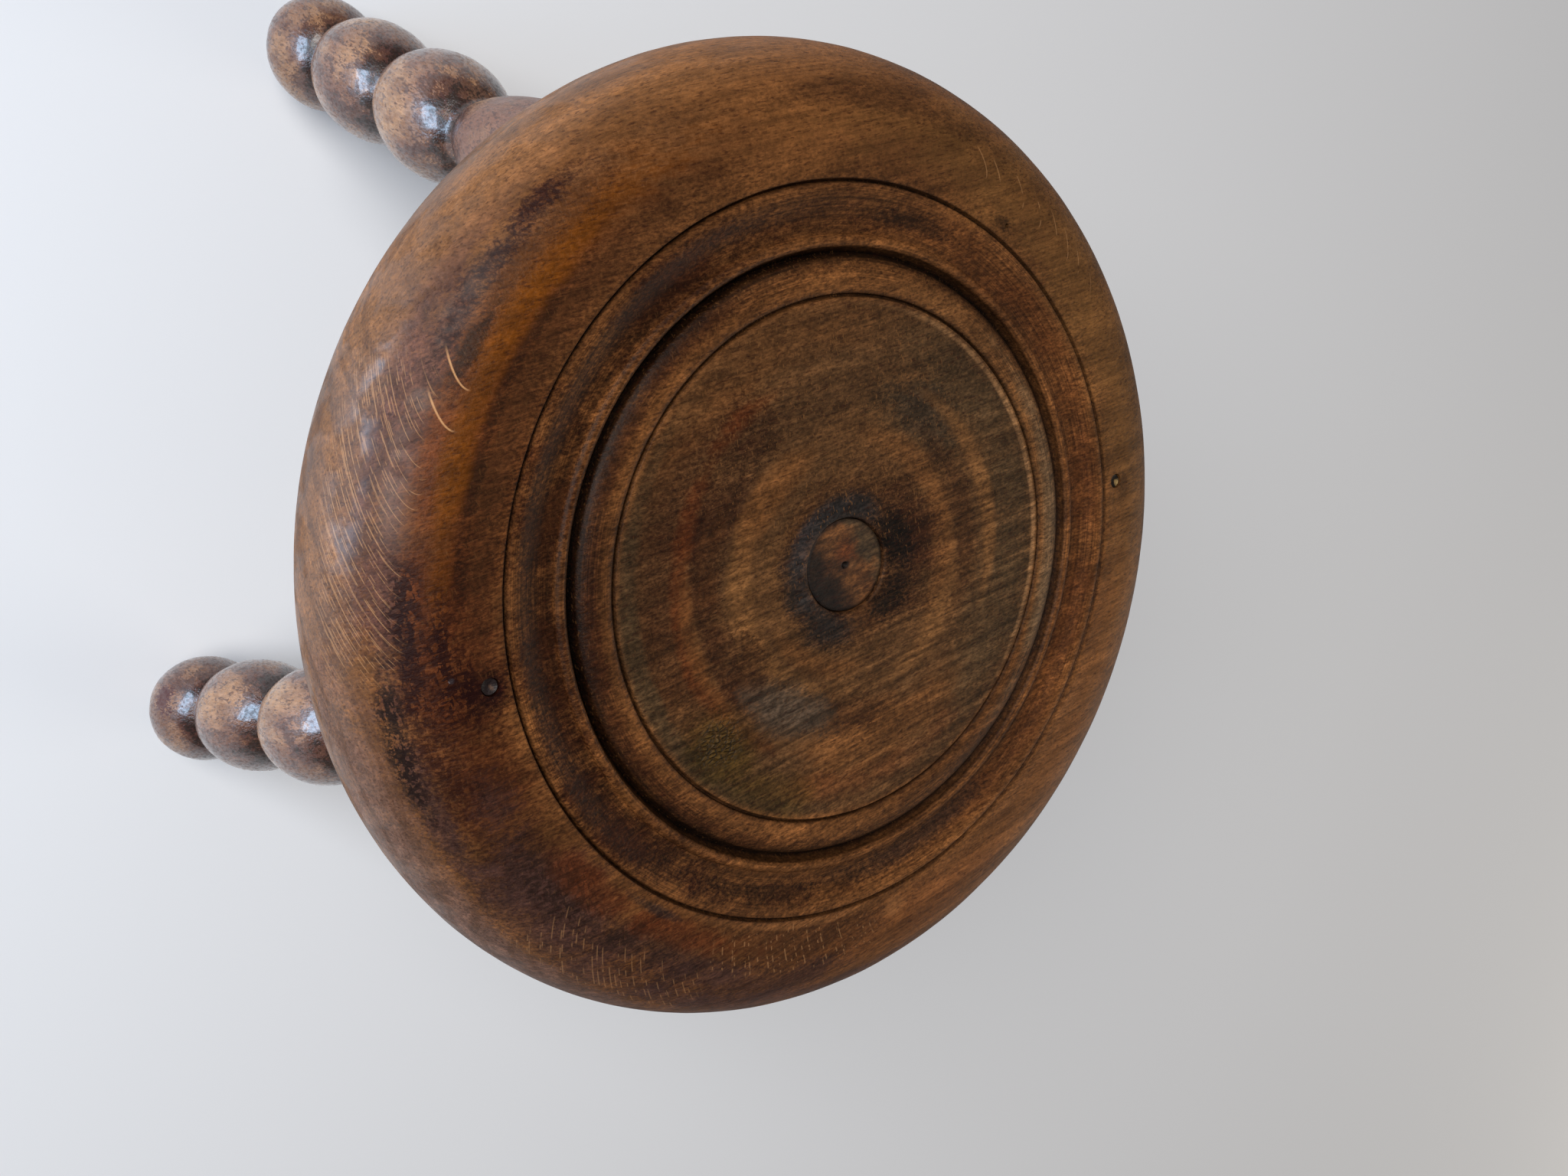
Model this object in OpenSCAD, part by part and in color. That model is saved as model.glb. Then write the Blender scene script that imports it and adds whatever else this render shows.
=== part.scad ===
// Three-legged stool: a thick turned seat with a moulded top, standing on three bead-turned legs.
// The origin is the middle of the centre plug's top face, on the seat's turning axis, +Z up.

/* [Seat] */
// Radius of the seat at its widest
seat_radius = 145; // [135:1:165]
// Thickness of the seat from the rim's top to the flat underside
seat_thickness = 60; // [54:1:72]
// How far in from the widest point the round edge reaches
edge_depth = 28.5; // [22:0.5:30]
// Drop from the rim's top to the widest point of the round edge
edge_drop = 31.5; // [26:0.5:36]
// Height from the floor to the rim's top
stool_height = 353; // [330:1:420]

/* [Mouldings on the top] */
// Width of the rim, from the widest point of the edge in to the incised line
rim_width = 39.5; // [36:0.5:46]
// Width of the incised line
line_width = 1.2; // [0.8:0.1:2]
// Depth of the incised line
line_depth = 1.3; // [0.8:0.1:2.5]
// Distance from the incised line in to the deepest place of the hollow
hollow_inset = 11; // [8:0.5:13]
// Depth of the hollow below the rim
hollow_depth = 3; // [2:0.1:4]
// Distance from the hollow's deepest place in to the small bead's crest
bead_inset = 4.2; // [3.5:0.1:6]
// Half width of the small bead
bead_half_width = 1.9; // [1.4:0.1:2.1]
// Drop from the rim to the small bead's crest
bead_drop = 1.2; // [0.8:0.1:1.6]
// Distance from the small bead's crest in to the deep groove
groove_inset = 3.1; // [2.8:0.1:4]
// Depth of the deep groove below the rim
groove_depth = 5.4; // [4.5:0.1:7]
// Distance from the deep groove in to the broad ring
ring_inset = 1.1; // [0.5:0.1:2]
// Width of the broad ring's outer side, from its foot to its crest
ring_outer_width = 6.6; // [5:0.1:8]
// Drop from the rim to the broad ring's crest
ring_drop = 1; // [0.6:0.1:1.4]
// Drop from the rim to the foot of the broad ring's outer side
ring_foot_drop = 3.6; // [3:0.1:4.2]
// Width of the broad ring's inner side, from its crest to the fine line
ring_inner_width = 3.6; // [3:0.1:5]
// Half width of the fine line between the broad ring and the middle
fine_line_half = 0.6; // [0.4:0.1:1]
// Depth of the fine line below the rim
fine_line_depth = 2.9; // [2.4:0.1:3.6]
// Drop from the rim to the dished middle's edge
dish_edge_drop = 1.3; // [0.8:0.1:1.6]
// How much deeper the dished middle is at the centre
dish_depth = 1.5; // [0.5:0.1:3]

/* [Centre plug] */
// Radius of the round plug in the middle of the seat
plug_radius = 13.7; // [10:0.1:18]
// Length of the plug
plug_length = 22; // [12:1:30]
// How far the plug's face lies below the dished middle
plug_sink = 0.9; // [0.4:0.1:1.5]
// Gap round the plug in its hole
plug_gap = 0.1; // [0.05:0.01:0.2]

/* [Legs] */
// Radius of the beads at their widest
leg_radius = 24; // [20:0.5:26]
// Radius of the necks between the beads
neck_radius = 12.5; // [11:0.5:15]
// Length of the plain neck between two beads
neck_length = 1; // [0.6:0.1:3]
// Half length of the foot's ball before its ends are cut
ball_half = 29; // [27:0.5:32]
// Height of the foot ball's middle above the floor
ball_height = 26; // [24:0.5:27]
// Half length of each oval bead before its ends are cut
oval_half = 37; // [33:0.5:40]
// Number of oval beads above the foot's ball
oval_count = 2; // [2:1:2]
// Radius of the back leg where its long top swelling meets the seat
top_radius = 17.5; // [15:0.5:21]
// Distance from the seat's widest point in to the legs' axes, at the rim's height
leg_inset = 71.4; // [66:0.1:78]
// Lean of the back leg from upright
back_lean_angle = 18.5; // [14:0.5:20]
// Lean of the left leg from upright
left_lean_angle = 14.9; // [12:0.1:20]
// Lean of the right leg from upright
right_lean_angle = 16.7; // [12:0.1:20]
// Direction of the back leg, seen from above
back_turn = 90; // [80:1:100]
// Turn from each leg to the next
leg_turn = 120; // [115:1:125]

/* [Leg joints] */
// Radius of the round tenon at a leg's top
tenon_radius = 12; // [10:0.5:14]
// Length of the tenon in the seat, along the leg
tenon_length = 36; // [28:1:42]
// Gap round the tenon in its socket
tenon_gap = 0.15; // [0.05:0.01:0.3]
// Space left for glue beyond the tenon's end
glue_space = 1.5; // [0.5:0.1:3]

/* [Nails] */
// Distance of the nails outside the incised line
nail_outset = 5.8; // [4.5:0.1:8]
// Direction of the right nail, seen from above
nail_turn = -5; // [-15:1:15]
// Turn from the right nail to the left nail
nail_spread_angle = 180; // [170:1:190]
// Radius of a nail's head
nail_head_radius = 2.3; // [1.8:0.1:3]
// Thickness of a nail's head
nail_head = 1.2; // [0.8:0.1:2]
// Radius of a nail's shank
nail_radius = 1.1; // [0.8:0.1:1.4]
// Length of a nail below its head
nail_length = 26; // [18:1:32]
// How far a nail's head lies below the rim
nail_sink = 0.6; // [0.3:0.1:1.2]
// Gap round a nail in its hole
nail_gap = 0.08; // [0.05:0.01:0.15]

/* [Hidden] */
$fn = 96;

// Steps in a quarter round of an outline
quarter_steps = 10;
// Turn of one step in a quarter round
quarter_turn = 90 / quarter_steps;
// Steps across a turned bead
bead_steps = 16;
// Height of the rim's top above the origin
rim_z = dish_edge_drop + dish_depth + plug_sink;
// Height of the flat underside
under_z = rim_z - seat_thickness;
// Height of the floor
floor_z = rim_z - stool_height;
// Overrun of cutting solids past the faces that they open
cut_over = 2;
// Radius of the incised line
line_radius = seat_radius - rim_width;
// Radius at which the hollow is deepest
hollow_radius = line_radius - hollow_inset;
// Radius of the small bead's crest
bead_radius = hollow_radius - bead_inset;
// Radius of the deep groove
groove_radius = bead_radius - groove_inset;
// Radius of the broad ring's crest
ring_crest_radius = groove_radius - ring_inset - ring_outer_width;
// Radius of the fine line
fine_line_radius = ring_crest_radius - ring_inner_width;
// Radius of the dished middle at its edge
dish_radius = fine_line_radius - fine_line_half;
// Radius, at the rim's height, from which the legs' axes lean out
leg_start_radius = seat_radius - leg_inset;
// Distance of the nails from the seat's centre
nail_place = line_radius + nail_outset;
// Share of a bead's half length that is left between its necks
bead_share = sqrt(1 - pow(neck_radius / leg_radius, 2));
// Angle at which a bead's outline meets its neck
neck_angle = asin(bead_share);
// Share of the top swelling's half length between its widest place and the back leg's top
top_share = sqrt(1 - pow(top_radius / leg_radius, 2));
// Distance along a leg from the foot ball's middle to the start of the top swelling
vase_start = oval_middle(oval_count - 1) + oval_half * bead_share + neck_length;
// Half length of the top swelling before its ends are cut, which fills the back leg up to the seat
vase_half = (along(under_z, back_lean_angle) - vase_start) / (bead_share + top_share);
// Distance along a leg from the foot ball's middle to the top swelling's widest place
vase_middle = vase_start + vase_half * bead_share;

// Points on an elliptical arc, from angle a0 to a1
function arc(cr, cz, half_r, half_z, a0, a1, steps) = [
    for (i = [0 : steps])
        let (a = a0 + (a1 - a0) * i / steps)
        [cr + half_r * cos(a), cz + half_z * sin(a)]
];

// Points on a smooth S-shaped slope between two places
function slope(r0, z0, r1, z1, steps) = [
    for (i = [0 : steps])
        let (t = i / steps)
        [r0 + (r1 - r0) * t, z0 + (z1 - z0) * (1 - cos(180 * t)) / 2]
];

// Points on the shallow dish, from its edge to the centre
function dish(steps) = [
    for (i = [0 : steps])
        let (t = 1 - i / steps)
        [dish_radius * t, -dish_edge_drop - dish_depth * cos(90 * t)]
];

// Outline of the seat, from the underside's middle round the edge and over the mouldings
function seat_outline() = concat(
    [[0, -seat_thickness]],
    arc(seat_radius - edge_depth, -edge_drop, edge_depth, seat_thickness - edge_drop, -90, 0, quarter_steps),
    arc(seat_radius - edge_depth, -edge_drop, edge_depth, edge_drop, quarter_turn, 90, quarter_steps - 1),
    [
        [line_radius + line_width / 2, 0],
        [line_radius, -line_depth],
        [line_radius - line_width / 2, 0]
    ],
    slope(line_radius - line_width, 0, hollow_radius, -hollow_depth, quarter_steps),
    arc(bead_radius, -hollow_depth, bead_half_width, hollow_depth - bead_drop, 0, 180, quarter_steps),
    [[groove_radius, -groove_depth]],
    arc(ring_crest_radius, -ring_foot_drop, ring_outer_width,
        ring_foot_drop - ring_drop, 0, 90, quarter_steps),
    arc(ring_crest_radius, ring_drop - fine_line_depth, ring_inner_width - fine_line_half / 2,
        fine_line_depth - 2 * ring_drop, 90 + quarter_turn, 180, quarter_steps - 1),
    [[fine_line_radius, -fine_line_depth]],
    dish(quarter_steps)
);

// Distance along a leg from the floor end's ball to each oval bead's middle
function oval_middle(i) = (ball_half + oval_half) * bead_share + neck_length
    + i * (2 * oval_half * bead_share + neck_length);

// Half outline of one bead, from the neck below to the neck above
function bead_outline(middle, half, a0, a1) = [
    for (i = [0 : bead_steps])
        let (a = a0 + (a1 - a0) * i / bead_steps)
        [leg_radius * cos(a), middle + half * sin(a)]
];

// Outline of a whole leg up to a given distance above the ball's middle
function leg_outline(top) = concat(
    bead_outline(0, ball_half, -90, neck_angle),
    [for (i = [0 : oval_count - 1]) each bead_outline(oval_middle(i), oval_half, -neck_angle, neck_angle)],
    bead_outline(vase_middle, vase_half, -neck_angle, asin((top - vase_middle) / vase_half)),
    [[0, top]]
);

// Distance along a leg from the ball's middle up to a height, on the axis
function along(height, lean) = (height - floor_z - ball_height) / cos(lean);

// Moves a leg's parts from a frame with the ball's middle at the origin to their place
module leg_place(lean, turn) {
    drop = stool_height - ball_height;
    rotate([0, 0, turn])
        translate([leg_start_radius + drop * tan(lean), 0, floor_z + ball_height])
            rotate([0, -lean, 0])
                children();
}

// Round tenon or its socket, from inside the leg's top to a given distance past the underside
module tenon(lean, radius, past) {
    under = along(under_z, lean);
    translate([0, 0, under - tenon_radius])
        cylinder(r = radius, h = tenon_radius + past);
}

// One bead-turned leg, cut flat at the floor and fitted to the underside
module turned_leg(lean, turn) {
    reach = leg_radius * tan(lean) + cut_over;
    union() {
        intersection() {
            leg_place(lean, turn)
                rotate_extrude()
                    polygon(leg_outline(along(under_z, lean) + reach));
            translate([0, 0, (floor_z + under_z) / 2])
                cube([4 * seat_radius, 4 * seat_radius, under_z - floor_z], center = true);
        }
        leg_place(lean, turn)
            tenon(lean, tenon_radius, tenon_length);
    }
}

// One nail with its head below the rim, or with a gap above 0 the hole that it sits in, open at the top
module nail(turn, gap) {
    above = gap > 0 ? nail_sink + cut_over : 0;
    rotate([0, 0, turn])
        translate([nail_place, 0, rim_z - nail_sink]) {
            translate([0, 0, -nail_head - gap])
                cylinder(r = nail_head_radius + gap, h = nail_head + gap + above);
            translate([0, 0, -nail_head - nail_length - gap])
                cylinder(r = nail_radius + gap, h = nail_length + 2 * gap);
        }
}

module seat() {
    color([0.36, 0.2, 0.12])
        difference() {
            translate([0, 0, rim_z])
                rotate_extrude()
                    polygon(seat_outline());
            for (leg = [[back_lean_angle, 0], [left_lean_angle, 1], [right_lean_angle, 2]])
                leg_place(leg[0], back_turn + leg[1] * leg_turn)
                    tenon(leg[0], tenon_radius + tenon_gap, tenon_length + glue_space);
            translate([0, 0, -plug_length])
                cylinder(r = plug_radius + plug_gap, h = plug_length + rim_z + cut_over);
            nail(nail_turn, nail_gap);
            nail(nail_turn + nail_spread_angle, nail_gap);
        }
}

module back_leg() {
    color([0.5, 0.33, 0.22])
        turned_leg(back_lean_angle, back_turn);
}

module left_leg() {
    color([0.55, 0.37, 0.24])
        turned_leg(left_lean_angle, back_turn + leg_turn);
}

module right_leg() {
    color([0.52, 0.35, 0.23])
        turned_leg(right_lean_angle, back_turn + 2 * leg_turn);
}

module centre_plug() {
    color([0.42, 0.22, 0.1])
        translate([0, 0, -plug_length])
            cylinder(r = plug_radius, h = plug_length);
}

module right_nail() {
    color([0.45, 0.38, 0.25])
        nail(nail_turn, 0);
}

module left_nail() {
    color([0.45, 0.38, 0.25])
        nail(nail_turn + nail_spread_angle, 0);
}

seat();
back_leg();
left_leg();
right_leg();
centre_plug();
right_nail();
left_nail();
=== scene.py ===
import logging
import math
from contextlib import contextmanager
from dataclasses import dataclass
from enum import Enum
from typing import Any, Iterator, Sequence, Union

import bpy
from mathutils import Matrix, Vector


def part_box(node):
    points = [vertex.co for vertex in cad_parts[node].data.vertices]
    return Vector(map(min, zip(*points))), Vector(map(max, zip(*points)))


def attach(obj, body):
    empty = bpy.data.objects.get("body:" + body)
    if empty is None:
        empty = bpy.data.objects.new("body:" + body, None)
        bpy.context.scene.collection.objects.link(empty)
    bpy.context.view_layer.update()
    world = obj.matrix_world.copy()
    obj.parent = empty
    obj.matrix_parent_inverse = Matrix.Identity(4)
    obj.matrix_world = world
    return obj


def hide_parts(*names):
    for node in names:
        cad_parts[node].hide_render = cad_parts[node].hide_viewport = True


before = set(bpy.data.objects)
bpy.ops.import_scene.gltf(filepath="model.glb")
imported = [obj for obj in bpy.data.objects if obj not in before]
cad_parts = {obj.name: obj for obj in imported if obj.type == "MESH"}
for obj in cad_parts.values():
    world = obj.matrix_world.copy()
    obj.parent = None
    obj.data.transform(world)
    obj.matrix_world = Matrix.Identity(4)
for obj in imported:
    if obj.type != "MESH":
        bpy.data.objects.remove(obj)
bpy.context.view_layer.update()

# An old three-legged stool: a thick turned seat with ring mouldings on bead-turned legs.
# Sizes are in millimetres in the row's frame, with the seat's turning axis on Z, and meshes are in metres.

LOG = logging.getLogger("stool")
BODY = "root"
MM = 0.001
FULL_TURN = 2 * math.pi
MERGE_GAP = 1e-6
# Added to the radius on the seat's lower half, so that none of the top's marks show there.
CLEAR_OF_MARKS = 200.0
# Where flakes of an older dark red coat remain on the left leg, in that leg's own millimetres.
REMNANTS = (9.0, -20.5, 6.0)

Point = tuple[float, float]
Colour = tuple[float, float, float]
Triple = tuple[float, float, float]
Socket = bpy.types.NodeSocket
Value = Union[float, Socket]


class Slot(Enum):
    """The record's material slots."""

    SEAT_WOOD = "seat_wood"
    LEG_WOOD = "leg_wood"
    PLUG_WOOD = "plug_wood"
    NAIL_METAL = "nail_metal"


def srgb(red: int, green: int, blue: int) -> Colour:
    """Turns a screen colour into the linear colour that a shader takes.

    Args:
        red: Red, from 0 to 255.
        green: Green, from 0 to 255.
        blue: Blue, from 0 to 255.

    Returns:
        The linear colour.
    """
    shares = [channel / 255 for channel in (red, green, blue)]
    return tuple(
        share / 12.92 if share <= 0.04045 else ((share + 0.055) / 1.055) ** 2.4 for share in shares
    )


class Tint(Enum):
    """Colours of the wood, its stain, its dirt and its worn places, and a few painted highlights, sheens
    and shades.
    """

    WALNUT = srgb(112, 70, 36)
    DEEP_WALNUT = srgb(68, 40, 20)
    RED_BLACK = srgb(40, 13, 6)
    RUST = srgb(94, 45, 17)
    SOOT = srgb(18, 12, 8)
    AMBER = srgb(100, 53, 6)
    TAN = srgb(118, 79, 44)
    PALE_TAN = srgb(188, 138, 92)
    OLIVE_GREY = srgb(70, 54, 35)
    OLIVE = srgb(66, 48, 16)
    BLUE_BLACK = srgb(34, 32, 31)
    ASH = srgb(80, 68, 56)
    PLUM = srgb(78, 42, 28)
    ORANGE_BROWN = srgb(128, 83, 47)
    BEECH = srgb(148, 107, 74)
    DULL_BEECH = srgb(108, 71, 54)
    DARK_VARNISH = srgb(62, 36, 31)
    OXBLOOD = srgb(60, 12, 14)
    OLIVE_BROWN = srgb(112, 77, 40)
    TAN_ORANGE = srgb(112, 73, 42)
    DUSTY_TAN = srgb(102, 72, 58)
    MAUVE_AND_PAINTED_SHEEN = srgb(80, 53, 46)
    PAINTED_HIGHLIGHT_GREY_TAN = srgb(116, 94, 68)
    BLOOD_BLACK = srgb(30, 7, 5)
    PAINT = srgb(118, 120, 128)
    GOLD_OLIVE = srgb(104, 80, 40)
    SLATE = srgb(50, 48, 50)
    MURK = srgb(64, 42, 36)


def arc(centre: Point, half: Point, start: float, end: float, steps: int) -> list[Point]:
    """Points on an elliptical arc of an outline.

    Args:
        centre: Radius and height of the ellipse's middle.
        half: Half width and half height of the ellipse.
        start: First angle, in degrees from the outward direction.
        end: Last angle.
        steps: Number of steps between the two.

    Returns:
        The points, both ends included.
    """
    made = []
    for i in range(steps + 1):
        angle = math.radians(start + (end - start) * i / steps)
        made.append((centre[0] + half[0] * math.cos(angle), centre[1] + half[1] * math.sin(angle)))
    return made


def slope(start: Point, end: Point, steps: int) -> list[Point]:
    """Points on a smooth S-shaped slope of an outline.

    Args:
        start: First radius and height.
        end: Last radius and height.
        steps: Number of steps between the two.

    Returns:
        The points, both ends included.
    """
    made = []
    for i in range(steps + 1):
        share = i / steps
        rise = (1 - math.cos(math.pi * share)) / 2
        made.append((start[0] + (end[0] - start[0]) * share, start[1] + (end[1] - start[1]) * rise))
    return made


def deselect() -> None:
    """Leaves edit mode and deselects every object."""
    if bpy.context.object is not None and bpy.context.object.mode != "OBJECT":
        bpy.ops.object.mode_set(mode="OBJECT")
    bpy.ops.object.select_all(action="DESELECT")


def activate(piece: bpy.types.Object) -> None:
    """Makes one piece the only selected object, and the active one.

    Args:
        piece: The piece.
    """
    deselect()
    piece.select_set(True)
    bpy.context.view_layer.objects.active = piece


@contextmanager
def editing(piece: bpy.types.Object) -> Iterator[None]:
    """Edit mode on one piece, with nothing of its mesh selected at the start.

    Args:
        piece: The piece to edit.

    Yields:
        Nothing; edit mode ends with the block.
    """
    activate(piece)
    bpy.ops.object.mode_set(mode="EDIT")
    bpy.ops.mesh.select_all(action="DESELECT")
    yield
    bpy.ops.object.mode_set(mode="OBJECT")


def apply_modifier(piece: bpy.types.Object, modifier: bpy.types.Modifier) -> None:
    """Makes a modifier's result the piece's own mesh."""
    activate(piece)
    bpy.ops.object.modifier_apply(modifier=modifier.name)


def lathe(name: str, outline: Sequence[Point], steps: int) -> bpy.types.Object:
    """Turns a half outline about the Z axis into a closed piece.

    Args:
        name: The piece's name.
        outline: Radius and height of each point, starting and ending on the axis.
        steps: Number of faces round the piece.

    Returns:
        The turned piece, its faces pointing outwards.
    """
    deselect()
    bpy.ops.mesh.primitive_plane_add(size=MM)
    piece = bpy.context.object
    piece.name = name
    piece.data.name = name
    places = [Vector((radius, 0, height)) * MM for radius, height in outline]
    with editing(piece):
        bpy.ops.mesh.select_all(action="SELECT")
        bpy.ops.mesh.merge(type="CENTER")
        bpy.ops.transform.translate(value=places[0])
        for here, there in zip(places, places[1:]):
            bpy.ops.mesh.extrude_vertices_move(TRANSFORM_OT_translate={"value": there - here})
        bpy.ops.mesh.select_all(action="SELECT")
        bpy.ops.mesh.spin(steps=steps, angle=FULL_TURN, center=(0, 0, 0), axis=(0, 0, 1))
        bpy.ops.mesh.select_all(action="SELECT")
        bpy.ops.mesh.remove_doubles(threshold=MERGE_GAP)
        bpy.ops.mesh.normals_make_consistent(inside=False)
    return piece


def wear_down(piece: bpy.types.Object, depth: float, reach: float) -> None:
    """Lowers a piece's surface unevenly and only inwards, as years of use do.

    Args:
        piece: The piece to wear.
        depth: Deepest loss, in millimetres.
        reach: Typical width of a dip, in millimetres.
    """
    texture = bpy.data.textures.new(piece.name + "_wear", "CLOUDS")
    texture.noise_scale = reach * MM
    texture.noise_depth = 2
    modifier = piece.modifiers.new("wear", "DISPLACE")
    modifier.texture = texture
    modifier.texture_coords = "LOCAL"
    modifier.mid_level = 1.0
    modifier.strength = depth * MM
    apply_modifier(piece, modifier)


def drill(radius: float, bottom: Triple, axis: Vector, length: float, sides: int = 48) -> bpy.types.Object:
    """A round cutter or peg.

    Args:
        radius: Its radius, in millimetres.
        bottom: The middle of its lower end.
        axis: The direction from its lower to its upper end.
        length: Its length.
        sides: Number of faces round it.

    Returns:
        The cylinder.
    """
    direction = axis.normalized()
    middle = (Vector(bottom) + direction * length / 2) * MM
    turned = direction.to_track_quat("Z", "Y").to_euler()
    deselect()
    bpy.ops.mesh.primitive_cylinder_add(
        vertices=sides, radius=radius * MM, depth=length * MM, location=middle, rotation=turned
    )
    made = bpy.context.object
    bpy.ops.object.transform_apply(location=True, rotation=True, scale=True)
    return made


def combine(piece: bpy.types.Object, tools: Sequence[bpy.types.Object], operation: str) -> None:
    """Cuts tools away from a piece, or joins them to it, and removes them.

    Args:
        piece: The piece that stays.
        tools: Closed solids that don't touch each other.
        operation: DIFFERENCE or UNION.
    """
    activate(tools[0])
    for tool in tools:
        tool.select_set(True)
    if len(tools) > 1:
        bpy.ops.object.join()
    tool = tools[0]
    modifier = piece.modifiers.new("fit", "BOOLEAN")
    modifier.operation = operation
    modifier.solver = "EXACT"
    modifier.object = tool
    apply_modifier(piece, modifier)
    bpy.data.objects.remove(tool)


def smooth(piece: bpy.types.Object, crease: float) -> None:
    """Shades a piece smooth, apart from edges sharper than an angle in degrees."""
    activate(piece)
    bpy.ops.object.shade_smooth_by_angle(angle=math.radians(crease))


def hand_over(piece: bpy.types.Object, node: str, material: bpy.types.Material) -> None:
    """Dresses a finished piece and lets it stand for its CAD node.

    Args:
        piece: The finished piece, its object at the origin.
        node: The CAD node that it replaces.
        material: Its finish.
    """
    piece.data.materials.clear()
    piece.data.materials.append(material)
    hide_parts(node)
    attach(piece, BODY)
    LOG.info("%s: %d faces in place of %s", piece.name, len(piece.data.polygons), node)


class Graph:
    """Wires the nodes of one material, with coordinates in millimetres of the row's frame."""

    def __init__(self, name: str) -> None:
        """Starts a material with a shader, an output and the object's own coordinates.

        Args:
            name: The material's name.
        """
        self.material = bpy.data.materials.new(name)
        self.material.use_nodes = True
        self.tree = self.material.node_tree
        self.tree.nodes.clear()
        output = self.add("ShaderNodeOutputMaterial")
        self.shader = self.add("ShaderNodeBsdfPrincipled")
        self.tree.links.new(self.shader.outputs["BSDF"], output.inputs["Surface"])
        self.metres = self.add("ShaderNodeTexCoord").outputs["Object"]

    def add(self, kind: str, **settings: Any) -> bpy.types.Node:
        """Adds a node of a kind.

        Args:
            kind: The node's type.
            settings: Its properties and their values.

        Returns:
            The node.
        """
        node = self.tree.nodes.new(kind)
        for name, value in settings.items():
            setattr(node, name, value)
        return node

    def put(self, value: Any, socket: Socket) -> None:
        """Feeds an input.

        Args:
            value: A socket to link to it, or a number, vector, colour or tint to set it to.
            socket: The input.
        """
        if isinstance(value, Tint):
            value = value.value
        if isinstance(value, bpy.types.NodeSocket):
            self.tree.links.new(value, socket)
        elif socket.type == "RGBA" and len(value) == 3:
            socket.default_value = (*value, 1.0)
        else:
            socket.default_value = value

    def feed(self, name: str, value: Any) -> None:
        """Feeds one of the shader's inputs, by its name."""
        self.put(value, self.shader.inputs[name])

    def math(self, operation: str, *terms: Value) -> Socket:
        """One arithmetic step on numbers.

        Args:
            operation: The Math node's operation.
            terms: Its one to three terms.

        Returns:
            The result.
        """
        node = self.add("ShaderNodeMath", operation=operation)
        for term, socket in zip(terms, node.inputs):
            self.put(term, socket)
        return node.outputs[0]

    def times(self, value: Value, factor: Value, offset: Value = 0.0) -> Socket:
        """A number times another, plus an offset where one is given."""
        return self.math("MULTIPLY_ADD", value, factor, offset)

    def radius(self, at: Socket) -> Socket:
        """Distance from the Z axis."""
        return self.vector("LENGTH", self.vector("MULTIPLY", at, (1, 1, 0)))

    def height(self, at: Socket) -> Socket:
        """Distance along the Z axis."""
        return self.vector("DOT_PRODUCT", at, (0, 0, 1))

    def vector(self, operation: str, *terms: Any) -> Socket:
        """One step on vectors.

        Args:
            operation: The Vector Math node's operation.
            terms: Its vectors.

        Returns:
            The resulting vector, or the number for a length or dot product.
        """
        node = self.add("ShaderNodeVectorMath", operation=operation)
        for term, socket in zip(terms, node.inputs):
            self.put(term, socket)
        return node.outputs["Value" if operation in ("LENGTH", "DOT_PRODUCT", "DISTANCE") else "Vector"]

    def millimetres(self, place: Matrix | None = None) -> Socket:
        """The coordinates in millimetres, in the row's frame or in a sub-part's own.

        Args:
            place: The sub-part's placement in the row's frame, in metres.

        Returns:
            The coordinates.
        """
        node = self.add("ShaderNodeMapping", vector_type="TEXTURE")
        self.put(self.metres, node.inputs["Vector"])
        node.inputs["Scale"].default_value = (MM, MM, MM)
        if place is not None:
            node.inputs["Location"].default_value = place.to_translation()
            node.inputs["Rotation"].default_value = place.to_euler("XYZ")
        return node.outputs["Vector"]

    def along_x(self, value: Value) -> Socket:
        """Coordinates that change only with one number.

        Args:
            value: The number.

        Returns:
            Coordinates with that number as X.
        """
        node = self.add("ShaderNodeCombineXYZ")
        self.put(value, node.inputs["X"])
        return node.outputs["Vector"]

    def noise(
        self, at: Socket, size: Triple, seed: float = 0.0, detail: float = 2.0, rough: float = 0.5
    ) -> Socket:
        """Noise whose features have a size of their own along each axis.

        Args:
            at: The coordinates, in millimetres.
            size: The features' size along X, Y and Z, in millimetres.
            seed: Where in the noise to start.
            detail: Number of finer layers.
            rough: Weight of the finer layers.

        Returns:
            The noise, about 0.5 on average.
        """
        scale = tuple(1 / extent for extent in size)
        shifted = self.vector("MULTIPLY_ADD", at, scale, (seed, seed * 1.7, seed * 2.3))
        node = self.add("ShaderNodeTexNoise", noise_dimensions="3D")
        self.put(shifted, node.inputs["Vector"])
        node.inputs["Scale"].default_value = 1.0
        node.inputs["Detail"].default_value = detail
        node.inputs["Roughness"].default_value = rough
        return node.outputs["Fac"]

    def step(
        self, value: Value, low: float, high: float, to_low: float = 0.0, to_high: float = 1.0
    ) -> Socket:
        """A smooth step from one level to another.

        Args:
            value: What drives it.
            low: Value at which it leaves the first level.
            high: Value at which it reaches the second level.
            to_low: The first level.
            to_high: The second level.

        Returns:
            The level.
        """
        node = self.add("ShaderNodeMapRange", interpolation_type="SMOOTHSTEP")
        for number, socket in zip((value, low, high, to_low, to_high), node.inputs):
            self.put(number, socket)
        return node.outputs[0]

    def profile(self, value: Socket, stops: Sequence[Point]) -> Socket:
        """A level that follows a drawn profile.

        Args:
            value: What drives it, from 0 to the last stop's value.
            stops: Value and level of each stop.

        Returns:
            The level.
        """
        span = stops[-1][0]
        node = self.add("ShaderNodeValToRGB")
        self.put(self.math("DIVIDE", value, span), node.inputs["Fac"])
        elements = node.color_ramp.elements
        while len(elements) < len(stops):
            elements.new(1.0)
        for element, (place, level) in zip(elements, stops):
            element.position = place / span
            element.color = (level, level, level, 1.0)
        return node.outputs["Color"]

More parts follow.
